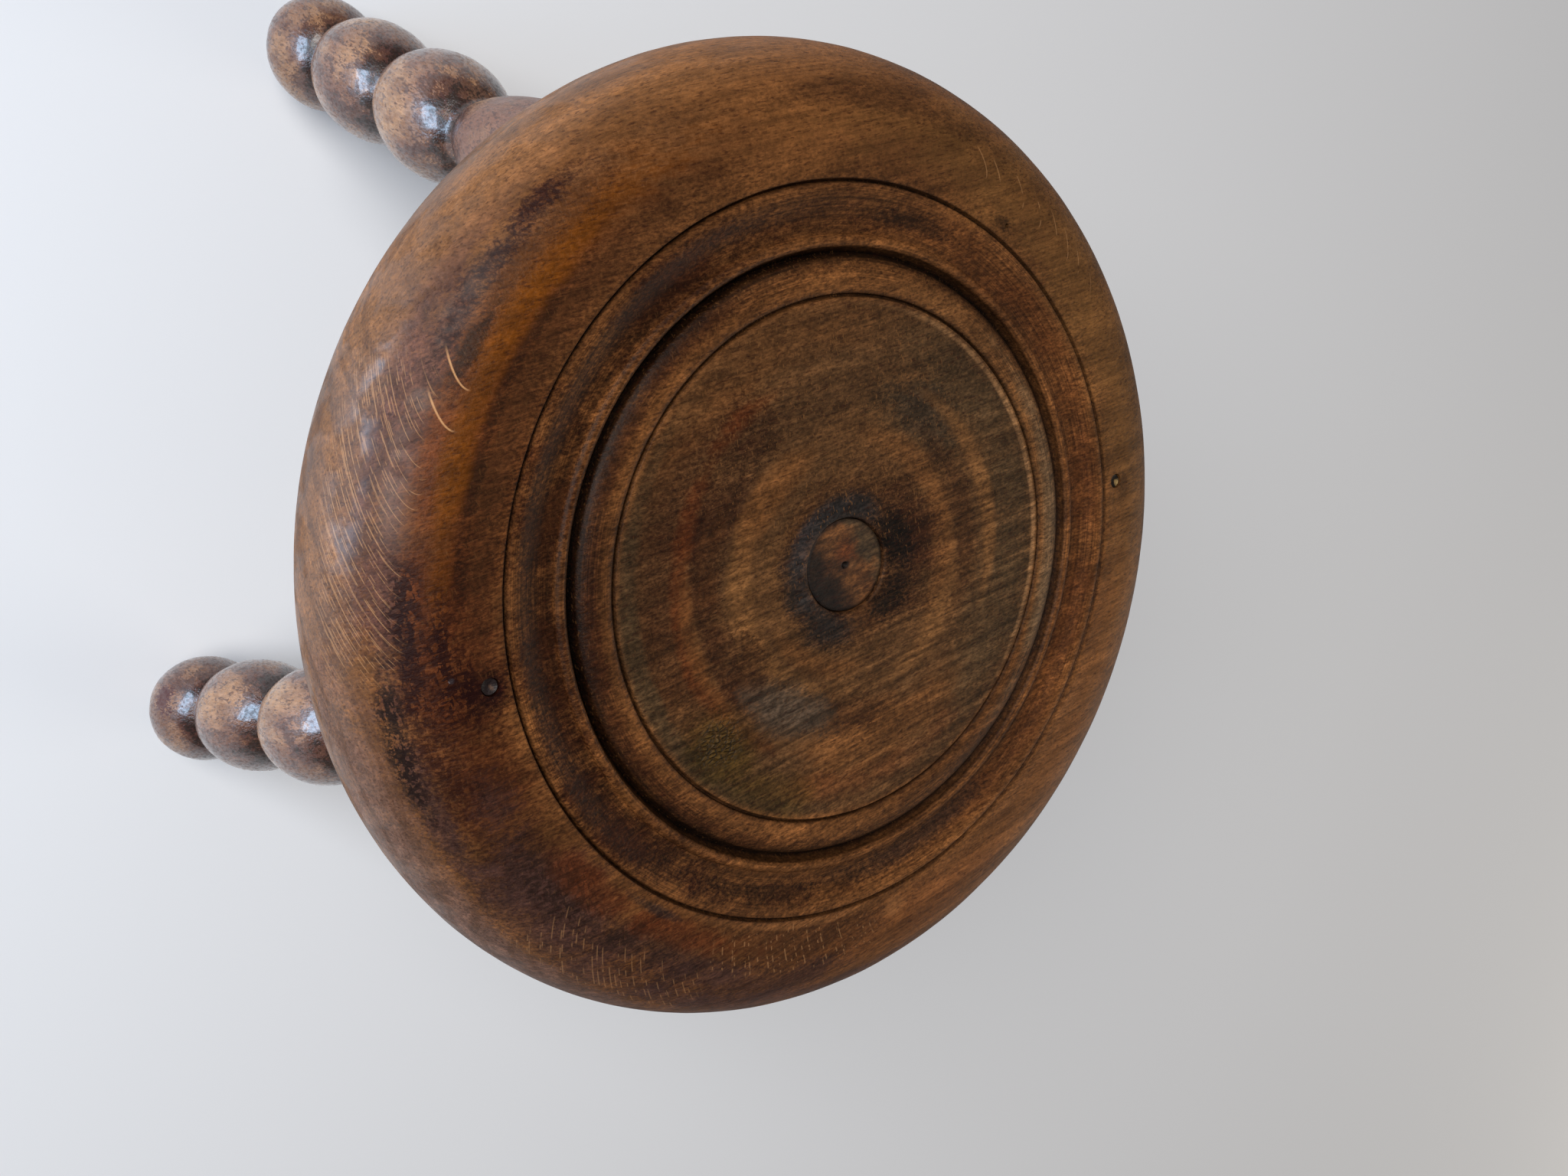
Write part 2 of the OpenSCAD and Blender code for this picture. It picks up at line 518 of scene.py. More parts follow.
    def blend(self, share: Value, under: Any, over: Any, mode: str = "MIX") -> Socket:
        """Lays one colour over another.

        Args:
            share: How much of the upper colour shows.
            under: The lower colour.
            over: The upper colour.
            mode: How they combine.

        Returns:
            The colour.
        """
        node = self.add("ShaderNodeMix", data_type="RGBA", blend_type=mode)
        self.put(share, node.inputs[0])
        self.put(under, node.inputs[6])
        self.put(over, node.inputs[7])
        return node.outputs[2]

    def tone(self, colour: Socket, tone: Socket) -> Socket:
        """Makes a colour darker or lighter by a factor."""
        return self.blend(1.0, colour, tone, "MULTIPLY")

    def relief(self, *layers: tuple[Socket, float]) -> None:
        """Raises and lowers the surface's shading.

        Args:
            layers: Textures, each with how far it raises the surface, in millimetres.
        """
        height: Value = 0.0
        for texture, rise in layers:
            height = self.times(texture, rise, height)
        node = self.add("ShaderNodeBump")
        node.inputs["Distance"].default_value = MM
        node.inputs["Strength"].default_value = 1.0
        self.put(height, node.inputs["Height"])
        self.put(node.outputs["Normal"], self.shader.inputs["Normal"])


@dataclass(frozen=True)
class Patch:
    """One stained or worn place on the seat, or one place of painted light or shade, following the turning.

    Attributes:
        radius: Distance of its middle from the seat's axis, in millimetres.
        azimuth: Direction of its middle, in degrees from +X.
        depth: Half its width across the turning.
        length: Half its length along the turning.
        tint: Its colour.
        strength: How much of that colour shows.
        ragged: How ragged its edge is.
    """

    radius: float
    azimuth: float
    depth: float
    length: float
    tint: Tint
    strength: float
    ragged: float = 1.0


@dataclass(frozen=True)
class Swirls:
    """Fine pale arcs that sanding left on the rim, all of one shape and side by side.

    Attributes:
        azimuth: Where the first arc starts, in degrees from +X.
        start: Distance from the seat's axis where the arcs stand square to the rim, in millimetres.
        bend: How fast they lean along the rim from there on, in 1/mm, anticlockwise where positive.
        spacing: Distance between two arcs along the rim.
        jitter: Share of that distance by which an arc may lie off its place.
        width: Width of an arc.
        inner: Distance from the seat's axis where the arcs begin.
        outer: Distance from the seat's axis where they end.
        middle: Direction of the middle of their stretch, in degrees from +X.
        spread: Half the angle that they cover on the rim.
        run: Typical length of an unbroken piece of an arc.
        breaks: Share of an arc that is broken away, 0 for none.
        strength: How much of their colour shows.
        ease: Climb after which an arc stops bending.
    """

    azimuth: float
    start: float
    bend: float
    spacing: float
    jitter: float
    width: float
    inner: float
    outer: float
    middle: float
    spread: float
    run: float
    breaks: float
    strength: float
    ease: float = 9.0


# Distance from the seat's axis, in millimetres, and the factor on its colour there: painted shade, with
# some grime, darkens the mouldings' hollows down to near black, and painted highlights, with some polish,
# lighten their crests and lips.
GRIME_AND_PAINTED_SHADING = (
    (0.0, 1.0), (66.0, 1.0), (71.0, 0.85), (74.0, 0.9), (74.9, 1.4), (75.4, 0.5), (75.9, 0.04),
    (76.4, 0.45), (77.0, 1.0), (79.5, 1.08), (82.5, 0.9), (84.6, 0.5), (86.0, 0.1), (87.4, 0.03),
    (88.4, 0.3), (89.3, 1.0), (90.3, 1.3), (91.4, 0.85), (92.6, 0.7), (95.0, 0.72), (98.0, 0.82),
    (101.5, 0.95), (104.2, 1.15), (104.9, 0.7), (105.5, 0.05), (106.1, 0.6), (106.6, 1.06), (112.0, 1.0),
    (150.0, 1.0),
)


@dataclass(frozen=True)
class SeatFinish:
    """Dark walnut stain on beech, worn and waxed, with the marks of a long life, and with painted shade and
    highlights on the mouldings.

    Attributes:
        edge_start: Distance from the seat's axis where the edge's rounding starts, in millimetres.
        edge_depth: How far out the rounding reaches from there.
        edge_round: The rounding's mean radius.
        disc_patches: Stained and worn places in the dished middle, and a painted highlight on the fine
            line's inner lip.
        stain_patches: The dark stain round the plug, over those.
        moulding_patches: Places on the ring, the bead and the hollow, among them painted highlights on the
            ring's side towards +X and painted shade on the side towards -X.
        rim_patches: Places on the rim and the round edge.
        flaked_patches: Places where an old dark coat is left in flakes.
        swirls: The sanding marks.
        marks_end: Heights between which the top's marks fade out on the round edge.
        ticked: Middle of the stretch that has most of the pale ticks.
        heart: A point on the tree's heart, which runs along X below the seat.
        blister: Middle of the blistered spot.
        polished: Direction of the glossiest side.
    """

    edge_start: float
    edge_depth: float
    edge_round: float
    disc_patches: tuple[Patch, ...] = (
        Patch(60, 172, 13, 62, Tint.DEEP_WALNUT, 0.75, 1.2),
        Patch(62, 150, 11, 44, Tint.RED_BLACK, 0.35, 1.4),
        Patch(68, 95, 9, 60, Tint.WALNUT, 0.4, 1.6),
        Patch(66, 20, 12, 60, Tint.OLIVE_GREY, 0.7),
        Patch(62, -38, 14, 36, Tint.OLIVE_GREY, 0.6),
        Patch(47, 42, 12, 22, Tint.OLIVE_GREY, 0.8, 1.4),
        Patch(49, 44, 9, 17, Tint.BLUE_BLACK, 0.42, 1.6),
        Patch(50, 136, 12, 30, Tint.RED_BLACK, 0.6, 1.8),
        Patch(48, 196, 6, 28, Tint.RED_BLACK, 0.62, 1.4),
        Patch(48, 160, 4, 20, Tint.DEEP_WALNUT, 0.8, 1.6),
        Patch(72, 190, 3.5, 70, Tint.OLIVE_GREY, 0.8),
        Patch(57, 168, 3.6, 74, Tint.RUST, 0.6, 1.5),
        Patch(55, 182, 3.0, 24, Tint.WALNUT, 0.6, 1.2),
        Patch(37.5, 182, 4.6, 48, Tint.TAN, 0.85, 0.8),
        Patch(36, 128, 6, 20, Tint.WALNUT, 0.8),
        Patch(26, 20, 9, 30, Tint.DEEP_WALNUT, 0.5, 1.4),
        Patch(38, 35, 5, 24, Tint.WALNUT, 0.65),
        Patch(36, -10, 6, 24, Tint.WALNUT, 0.7),
        Patch(40, -50, 5, 24, Tint.TAN, 0.75, 1.2),
        Patch(55, 8, 3.4, 38, Tint.TAN, 0.85, 0.8),
        Patch(45, 5, 4.5, 34, Tint.DEEP_WALNUT, 0.7),
        Patch(54, -92, 12, 40, Tint.WALNUT, 0.75, 1.8),
        Patch(66, -95, 5, 40, Tint.RUST, 0.4, 1.8),
        Patch(44, -112, 6, 24, Tint.DEEP_WALNUT, 0.75, 1.8),
        Patch(45, -131, 9, 17, Tint.ASH, 0.7, 1.8),
        Patch(30, -128, 4, 20, Tint.WALNUT, 0.7, 1.2),
        Patch(40, -160, 7, 10, Tint.DEEP_WALNUT, 0.8, 1.8),
        Patch(64, -146, 11, 16, Tint.OLIVE, 0.85),
        Patch(68, -128, 8, 18, Tint.OLIVE, 0.6),
        # Painted highlight on the fine line's inner lip, where it faces the light.
        Patch(73.7, 8, 1.1, 78, Tint.PALE_TAN, 0.4, 0.5),
    )
    stain_patches: tuple[Patch, ...] = (
        Patch(17, 0, 9, 90, Tint.DEEP_WALNUT, 0.8),
        Patch(25, -6, 12, 20, Tint.RED_BLACK, 0.7, 1.5),
        Patch(17.5, 128, 4.0, 27, Tint.SLATE, 0.85, 1.0),
        Patch(16, 78, 7, 15, Tint.BLUE_BLACK, 0.9, 1.2),
        Patch(19, -24, 7.5, 15, Tint.SOOT, 0.92, 1.6),
        Patch(19, 16, 6, 10, Tint.SOOT, 0.85, 1.6),
        Patch(19, 178, 6, 13, Tint.BLUE_BLACK, 0.75, 1.4),
        Patch(19, -130, 7, 14, Tint.BLUE_BLACK, 0.9, 1.4),
    )
    moulding_patches: tuple[Patch, ...] = (
        # Painted highlights: the ring's walls on the +X side, where they face the light, made lighter and
        # greyer.
        Patch(79.5, 15, 6, 90, Tint.TAN, 0.5),
        Patch(81.5, -8, 4.2, 62, Tint.PAINTED_HIGHLIGHT_GREY_TAN, 0.6, 0.9),
        Patch(79.5, -120, 6, 60, Tint.WALNUT, 0.7),
        # Painted shade, over stain: the ring's outer slope on the -X side, which turns away from the light.
        Patch(83.5, 170, 4, 120, Tint.RED_BLACK, 0.7),
        Patch(97, 0, 7, 170, Tint.RUST, 0.35, 1.4),
        Patch(98, 67, 3, 20, Tint.SOOT, 0.6, 1.8),
        Patch(98, -122, 3, 24, Tint.SOOT, 0.6, 1.8),
        Patch(96, -90, 4, 34, Tint.BLUE_BLACK, 0.6, 1.8),
        # Painted shade, over stain: the hollow on the -X side, which turns away from the light.
        Patch(97, 160, 9, 120, Tint.RED_BLACK, 0.75, 1.8),
        Patch(98, -158, 6, 50, Tint.RED_BLACK, 0.5, 1.8),
    )
    rim_patches: tuple[Patch, ...] = (
        Patch(122, -58, 20, 110, Tint.ORANGE_BROWN, 0.55),
        Patch(122, 22, 20, 120, Tint.OLIVE_BROWN, 0.6),
        Patch(118, -95, 10, 60, Tint.RUST, 0.3, 1.4),
        Patch(128, 72, 4.5, 44, Tint.DEEP_WALNUT, 0.6, 1.6),
        Patch(138, 84, 7, 64, Tint.ORANGE_BROWN, 0.75, 1.2),
        Patch(120, 152, 17, 100, Tint.RUST, 0.85),
        Patch(122, 182, 15, 60, Tint.RED_BLACK, 0.62, 1.4),
        Patch(113, 166, 8, 34, Tint.RED_BLACK, 0.45, 1.6),
        Patch(125, 168, 7, 30, Tint.RUST, 0.5, 1.6),
        Patch(112, 136, 6.4, 78, Tint.DEEP_WALNUT, 0.85, 1.3),
        Patch(117, 146, 2.4, 60, Tint.SOOT, 0.5, 2.0),
        Patch(124, 118, 7, 42, Tint.AMBER, 0.75, 1.7),
        Patch(128, 122, 4, 40, Tint.DEEP_WALNUT, 0.6, 1.8),
        Patch(121.6, 143, 4.0, 64, Tint.AMBER, 0.92, 1.1),
        Patch(133, 150, 3.8, 66, Tint.MAUVE_AND_PAINTED_SHEEN, 0.75, 1.4),
        Patch(132, 127, 2.6, 28, Tint.RED_BLACK, 0.75, 2.2),
        Patch(127, 137, 1.8, 12, Tint.SOOT, 0.6, 1.8),
        # Partly painted sheen: the bluish mauve glaze on the rounded edge towards -X, over the wood's own
        # colour.
        Patch(138, 142, 3.4, 74, Tint.MAUVE_AND_PAINTED_SHEEN, 0.7, 1.4),
        Patch(142.5, 150, 4.2, 80, Tint.TAN_ORANGE, 0.85, 1.4),
        Patch(141, 116, 5.5, 50, Tint.ORANGE_BROWN, 0.75, 1.4),
        Patch(132.5, 187, 3.6, 28, Tint.MURK, 0.8, 1.8),
        Patch(123, 204, 7, 28, Tint.MURK, 0.7, 1.6),
        Patch(142, 198, 6.5, 90, Tint.DUSTY_TAN, 0.85, 1.6),
        Patch(120, -147, 11, 56, Tint.MURK, 0.85, 1.8),
        Patch(114, -150, 5, 30, Tint.RUST, 0.6, 1.8),
        Patch(114, -113, 9, 42, Tint.DEEP_WALNUT, 0.85, 1.4),
        Patch(131, -145, 6, 60, Tint.MURK, 0.85, 1.5),
        Patch(113, -136, 5, 34, Tint.RUST, 0.7, 2.0),
        Patch(125, -122, 7, 48, Tint.MURK, 0.8, 1.6),
        Patch(109.4, -141, 1.8, 11, Tint.BLUE_BLACK, 0.75, 1.2),
        Patch(107.4, -112, 1.5, 42, Tint.ORANGE_BROWN, 0.6, 1.2),
        Patch(134, -116, 5, 60, Tint.MAUVE_AND_PAINTED_SHEEN, 0.7, 1.6),
        Patch(142, -136, 6, 70, Tint.DUSTY_TAN, 0.85, 1.4),
        Patch(112, -94, 4, 5, Tint.ORANGE_BROWN, 0.8, 1.2),
        Patch(128, 0, 2.2, 5, Tint.TAN, 0.6, 1.2),
        Patch(125, 172, 8, 20, Tint.BLOOD_BLACK, 0.3, 1.6),
        Patch(128.6, 169, 2.4, 9, Tint.BLOOD_BLACK, 0.8, 1.6),
        Patch(121.4, 168, 1.5, 5, Tint.BLOOD_BLACK, 0.8, 1.6),
        # Painted highlight: a small grey-white glint on a dent.
        Patch(120.2, 172.9, 0.8, 0.8, Tint.PAINT, 0.9, 0.3),
        Patch(114.4, -6.2, 3.8, 4.2, Tint.SOOT, 0.55, 0.9),
        Patch(111.4, 175.8, 5.4, 6.6, Tint.BLOOD_BLACK, 1.0, 1.0),
        Patch(109.9, 47.4, 2.2, 4.0, Tint.SOOT, 0.6, 1.6),
    )
    flaked_patches: tuple[Patch, ...] = (
        Patch(128.5, 168, 4.8, 24, Tint.BLOOD_BLACK, 1.0, 0.8),
        Patch(121.3, 170, 4.0, 20, Tint.BLOOD_BLACK, 1.0, 0.8),
        Patch(116.6, 174, 3.2, 14, Tint.BLOOD_BLACK, 1.0, 0.8),
        Patch(133.8, 179, 3.2, 24, Tint.SOOT, 0.9, 1.2),
        Patch(127, 181, 8, 24, Tint.BLOOD_BLACK, 0.6, 1.4),
        Patch(119, -150, 8, 44, Tint.SOOT, 0.45, 1.6),
        Patch(132, 126, 3, 30, Tint.BLOOD_BLACK, 0.7, 1.4),
    )
    swirls: tuple[Swirls, ...] = (
        Swirls(
            azimuth=156, start=128, bend=-0.20, spacing=3.3, jitter=0.85, width=0.18, inner=127,
            outer=144, middle=155, spread=16, run=9, breaks=0.48, strength=0.4,
        ),
        Swirls(
            azimuth=155, start=127, bend=-0.19, spacing=1.7, jitter=0.95, width=0.15, inner=129,
            outer=144.5, middle=156, spread=18, run=4, breaks=0.5, strength=0.36,
        ),
        Swirls(
            azimuth=145.3, start=124.2, bend=-0.19, spacing=10, jitter=0.0, width=0.42, inner=124.2,
            outer=132, middle=141.5, spread=5.5, run=90, breaks=0.0, strength=0.85,
        ),
        Swirls(
            azimuth=50.6, start=118, bend=0.17, spacing=8.5, jitter=0.7, width=0.4, inner=117.5,
            outer=126.5, middle=42, spread=17, run=5, breaks=0.48, strength=0.34,
        ),
        Swirls(
            azimuth=-110, start=106, bend=0.05, spacing=2.3, jitter=0.95, width=0.4, inner=107,
            outer=124, middle=-113, spread=17, run=1.7, breaks=0.56, strength=0.32,
        ),
        Swirls(
            azimuth=-140, start=117, bend=0.12, spacing=2.2, jitter=0.95, width=0.26, inner=120,
            outer=138, middle=-140, spread=15, run=4, breaks=0.52, strength=0.27,
        ),
    )
    marks_end: Point = (-24.0, -34.0)
    ticked: Triple = (4.0, 42.0, 0.0)
    heart: Triple = (0.0, -10.0, -110.0)
    blister: Triple = (-53.5, -33.0, 1.5)
    polished: Triple = (-0.87, 0.5, 0.0)

    def material(self) -> bpy.types.Material:
        """Wires the seat's material.

        Returns:
            The material.
        """
        graph = Graph("seat_wood")
        at = graph.millimetres()
        radius = graph.radius(at)
        below = graph.step(graph.height(at), *self.marks_end)
        radius = graph.times(below, CLEAR_OF_MARKS, radius)
        outward = graph.vector("NORMALIZE", graph.vector("MULTIPLY", at, (1, 1, 0)))
        drift = graph.noise(at, (60, 34, 34), seed=8.7, detail=3, rough=0.55)
        blotches = graph.noise(at, (22, 12, 12), seed=3.1, detail=3, rough=0.6)
        speckle = graph.noise(at, (3.4, 2.2, 2.2), seed=7.3, rough=0.6)
        mottle = graph.noise(at, (1.4, 0.8, 0.8), seed=5.5, detail=3, rough=0.7)
        flecks = graph.noise(at, (2.4, 0.6, 0.6), seed=2.2, detail=1)
        ticks = graph.noise(at, (0.5, 1.6, 0.8), seed=9.2, detail=1)
        edge = graph.times(mottle, 0.4, graph.times(blotches, 0.6))

        # Stain, worn places and grime, with painted shade and painted highlights on the mouldings
        colour = graph.blend(graph.step(drift, 0.38, 0.64, to_high=0.6), Tint.WALNUT, Tint.DEEP_WALNUT)
        colour = graph.blend(graph.step(radius, 77, 73, to_high=0.48), colour, Tint.OLIVE_GREY)
        for patch in (*self.rim_patches, *self.moulding_patches, *self.disc_patches, *self.stain_patches):
            colour = graph.blend(self.patch_share(graph, patch, radius, outward, edge), colour, patch.tint)
        colour = self.grain(graph, at, radius, outward, colour)
        # Painted shade in the mouldings' hollows, with grime, and painted highlights on their crests and
        # lips
        colour = graph.tone(colour, graph.profile(radius, GRIME_AND_PAINTED_SHADING))

        # Mottle, dark flecks and pale ticks
        calm = graph.step(radius, 104, 118, 1.0, 0.55)
        for texture, swing in ((speckle, 0.26), (mottle, 0.45)):
            grains = graph.times(graph.step(texture, 0.29, 0.71, -swing, swing), calm, 1.0)
            colour = graph.tone(colour, grains)
        colour = graph.blend(graph.step(flecks, 0.58, 0.7, to_high=0.5), colour, Tint.RED_BLACK)
        ticked = graph.step(graph.vector("DISTANCE", at, self.ticked), 62.0, 30.0, 0.2, 0.6)
        ticked = graph.times(ticked, graph.step(ticks, 0.63, 0.72))
        colour = graph.blend(ticked, colour, Tint.TAN)

        # Lines of the turning on the mouldings
        turning = graph.noise(graph.along_x(radius), (0.45, 1, 1), seed=1.0, rough=0.6)
        lined = graph.times(graph.step(radius, 73, 78), graph.step(radius, 108, 104))
        turned = graph.tone(colour, graph.step(turning, 0.38, 0.62, 0.66, 1.26))
        colour = graph.blend(graph.times(lined, graph.step(blotches, 0.35, 0.6)), colour, turned)

        # Flakes of an old coat, blisters and sanding marks
        flakes = self.flakes(graph, at)
        for patch in self.flaked_patches:
            share = graph.times(flakes, self.patch_share(graph, patch, radius, outward, edge))
            colour = graph.blend(share, colour, patch.tint)
        blisters = self.crackle(graph, at)
        colour = graph.blend(graph.times(blisters, 0.5), colour, Tint.GOLD_OLIVE)
        lines = self.all_swirls(graph, at, radius)
        colour = graph.blend(lines, colour, Tint.PALE_TAN)
        graph.feed("Base Color", colour)

        # Relief and gloss
        graph.relief(
            (mottle, 0.16), (speckle, 0.14), (flecks, -0.05), (ticks, 0.03), (turning, 0.03),
            (blisters, 0.7), (lines, -0.03),
        )
        polished = graph.step(graph.vector("DOT_PRODUCT", outward, self.polished), 0.2, 0.8)
        gloss = graph.times(edge, 0.3, graph.times(polished, -0.1, 0.45))
        graph.feed("Roughness", gloss)
        graph.feed("Specular IOR Level", 0.12)
        glaze = graph.times(graph.step(radius, 126, 136), graph.step(blotches, 0.42, 0.58, 0.05, 0.42))
        graph.feed("Coat Weight", graph.times(glaze, polished))
        graph.feed("Coat Roughness", 0.27)
        return graph.material

    def grain(self, graph: Graph, at: Socket, radius: Socket, outward: Socket, colour: Socket) -> Socket:
        """Lays the wood's grain, which runs along X, over a colour.

        Args:
            graph: The material's nodes.
            at: The coordinates.
            radius: Distance from the seat's axis.
            outward: Direction from the seat's axis.
            colour: The colour below.

        Returns:
            The colour with bands, fibres and, on the worn edge, growth rings.
        """
        bands = graph.noise(at, (90, 8, 8), seed=6.1)
        streaks = graph.noise(at, (30, 2.2, 2.2), seed=5.3, rough=0.6)
        fibres = graph.noise(at, (20, 0.8, 0.8), seed=4.4, rough=0.6)
        threads = graph.noise(at, (16, 0.45, 0.6), seed=1.9, detail=1)
        bent = graph.noise(at, (46, 20, 20), seed=2.6)
        from_heart = graph.vector("SUBTRACT", graph.vector("MULTIPLY", at, (0, 1, 1)), self.heart)
        ring = graph.times(bent, 9, graph.vector("LENGTH", from_heart))
        rings = graph.step(graph.noise(graph.along_x(ring), (2.0, 1, 1), seed=4.0, detail=1), 0.44, 0.64)
        facing = graph.vector("DOT_PRODUCT", outward, (-1.0, 0.1, 0))
        rings = graph.times(rings, graph.times(graph.step(radius, 131, 139), graph.step(facing, 0.5, 0.9)))
        colour = graph.tone(colour, graph.step(bands, 0.38, 0.62, 1.15, 0.84))
        lower = graph.step(graph.vector("DOT_PRODUCT", at, (0.2, -1, 0)), -30.0, 20.0, 0.35, 1.0)
        lower = graph.times(lower, graph.step(radius, 72, 80, 1.0, 0.5))
        streaked = graph.tone(colour, graph.step(streaks, 0.34, 0.66, 1.32, 0.62))
        colour = graph.blend(lower, colour, streaked)
        colour = graph.tone(colour, graph.step(fibres, 0.35, 0.7, 1.1, 0.76))
        colour = graph.blend(graph.step(threads, 0.64, 0.76, to_high=0.2), colour, Tint.TAN_ORANGE)
        return graph.blend(graph.times(rings, 0.5), colour, Tint.DEEP_WALNUT)

    @staticmethod
    def flakes(graph: Graph, at: Socket) -> Socket:
        """Square-cut flecks, where an old dark coat broke along and across the grain.

        Args:
            graph: The material's nodes.
            at: The coordinates.

        Returns:
            How much of the dark coat is left.
        """
        along = graph.noise(at, (3.6, 1.3, 1.3), seed=3.7, rough=0.6)
        across = graph.noise(at, (1.1, 3.2, 2.6), seed=8.1, rough=0.6)
        crossing = graph.times(graph.math("ADD", along, across), 0.53)
        coat = graph.math("MAXIMUM", graph.math("MAXIMUM", along, across), crossing)
        return graph.step(coat, 0.52, 0.54)

    @staticmethod
    def patch_share(graph: Graph, patch: Patch, radius: Socket, outward: Socket, edge: Socket) -> Socket:
        """How much of a patch's colour shows.

        Args:
            graph: The material's nodes.
            patch: The patch.
            radius: Distance from the seat's axis.
            outward: Direction from the seat's axis.
            edge: Noise that makes the patch's edge ragged.

        Returns:
            The share.
        """
        turn = math.radians(patch.azimuth)
        facing = graph.vector("DOT_PRODUCT", outward, (math.cos(turn), math.sin(turn), 0))
        stretch = 2 * patch.radius**2 / patch.length**2
        along = graph.times(facing, -stretch, stretch)
        across = graph.times(radius, 1 / patch.depth, -patch.radius / patch.depth)
        total = graph.times(across, across, along)
        total = graph.times(edge, 3.0 * patch.ragged, total)
        middle = 1.5 * patch.ragged
        return graph.step(total, middle + 1.35, middle - 0.1, to_high=patch.strength)

    def all_swirls(self, graph: Graph, at: Socket, radius: Socket) -> Socket:
        """How much of the pale arcs shows.

        Args:
            graph: The material's nodes.
            at: The coordinates.
            radius: Distance from the seat's axis.

        Returns:
            The share.
        """
        split = graph.add("ShaderNodeSeparateXYZ")
        graph.put(at, split.inputs[0])
        angle = graph.math("ARCTAN2", split.outputs["Y"], split.outputs["X"])
        round_share = graph.math("DIVIDE", graph.math("SUBTRACT", radius, self.edge_start), self.edge_depth)
        round_share = graph.math("MINIMUM", graph.math("MAXIMUM", round_share, 0.0), 1.0)
        reach = graph.math("MINIMUM", graph.math("SUBTRACT", radius, self.edge_start), 0.0)
        reach = graph.times(graph.math("ARCSINE", round_share), self.edge_round, reach)
        lines: Value = 0.0
        for family in self.swirls:
            lines = graph.math("MAXIMUM", lines, self.swirl_share(graph, family, at, radius, angle, reach))
        return lines

    def swirl_share(
        self, graph: Graph, family: Swirls, at: Socket, radius: Socket, angle: Socket, reach: Socket
    ) -> Socket:
        """How much of one family of pale arcs shows.

        Args:
            graph: The material's nodes.
            family: The family of arcs.
            at: The coordinates.
            radius: Distance from the seat's axis.
            angle: Direction on the seat, in radians from +X.
            reach: Distance along the surface from where the edge's rounding starts.

        Returns:
            The share.
        """
        past = family.start - self.edge_start
        first = min(past, 0.0) + self.edge_round * math.asin(max(past, 0.0) / self.edge_depth)
        climb = graph.math("SUBTRACT", reach, first)
        turned = graph.math("SUBTRACT", angle, math.radians(family.azimuth))
        eased = graph.math("ADD", graph.times(climb, 1 / family.ease), 1.0)
        place = graph.math("DIVIDE", graph.times(graph.times(climb, climb), -family.bend), eased)
        place = graph.times(turned, family.start, place)
        cell = graph.times(place, 1 / family.spacing, 0.5)
        number = graph.math("FLOOR", cell)
        dice = graph.add("ShaderNodeTexWhiteNoise", noise_dimensions="1D")
        graph.put(number, dice.inputs["W"])
        shift = graph.times(dice.outputs["Value"], family.jitter, 0.5 - family.jitter / 2)
        off = graph.times(graph.math("SUBTRACT", graph.math("FRACT", cell), shift), family.spacing)
        lean = graph.math("DIVIDE", graph.times(climb, 2 * family.bend), eased)
        lean = graph.math("SQRT", graph.times(lean, lean, 1.0))
        off = graph.math("ABSOLUTE", graph.math("DIVIDE", off, lean))
        thin = graph.step(off, family.width * 0.75, family.width * 0.2)
        moved = graph.vector("MULTIPLY_ADD", dice.outputs["Color"], (190, 190, 190), at)
        size = (family.run, family.run, family.run)
        broken = graph.step(graph.noise(moved, size, detail=1), family.breaks - 0.04, family.breaks + 0.04)
        aside = graph.math("ABSOLUTE", graph.math("SUBTRACT", angle, math.radians(family.middle)))
        spread = math.radians(family.spread)
        here = graph.step(aside, spread, spread * 0.75)
        ragged = graph.times(dice.outputs["Value"], -6 * family.jitter, radius)
        here = graph.times(here, graph.step(ragged, family.inner - 1, family.inner + 1))
        here = graph.times(here, graph.step(radius, family.outer, family.outer - 2.5))
        share = graph.times(graph.times(thin, here), broken)
        return graph.times(share, family.strength)

    def crackle(self, graph: Graph, at: Socket) -> Socket:
        """The blistered spot where something was once spilt.

        Args:
            graph: The material's nodes.
            at: The coordinates.

        Returns:
            Its height, from 0 to 1.
        """
        node = graph.add("ShaderNodeTexVoronoi", feature="DISTANCE_TO_EDGE")
        graph.put(graph.vector("MULTIPLY", at, (0.45, 0.8, 0.5)), node.inputs["Vector"])
        node.inputs["Scale"].default_value = 1.0
        cells = graph.step(node.outputs["Distance"], 0.0, 0.3)
        near = graph.step(graph.vector("DISTANCE", at, self.blister), 9.5, 3.0)
        return graph.times(cells, near)


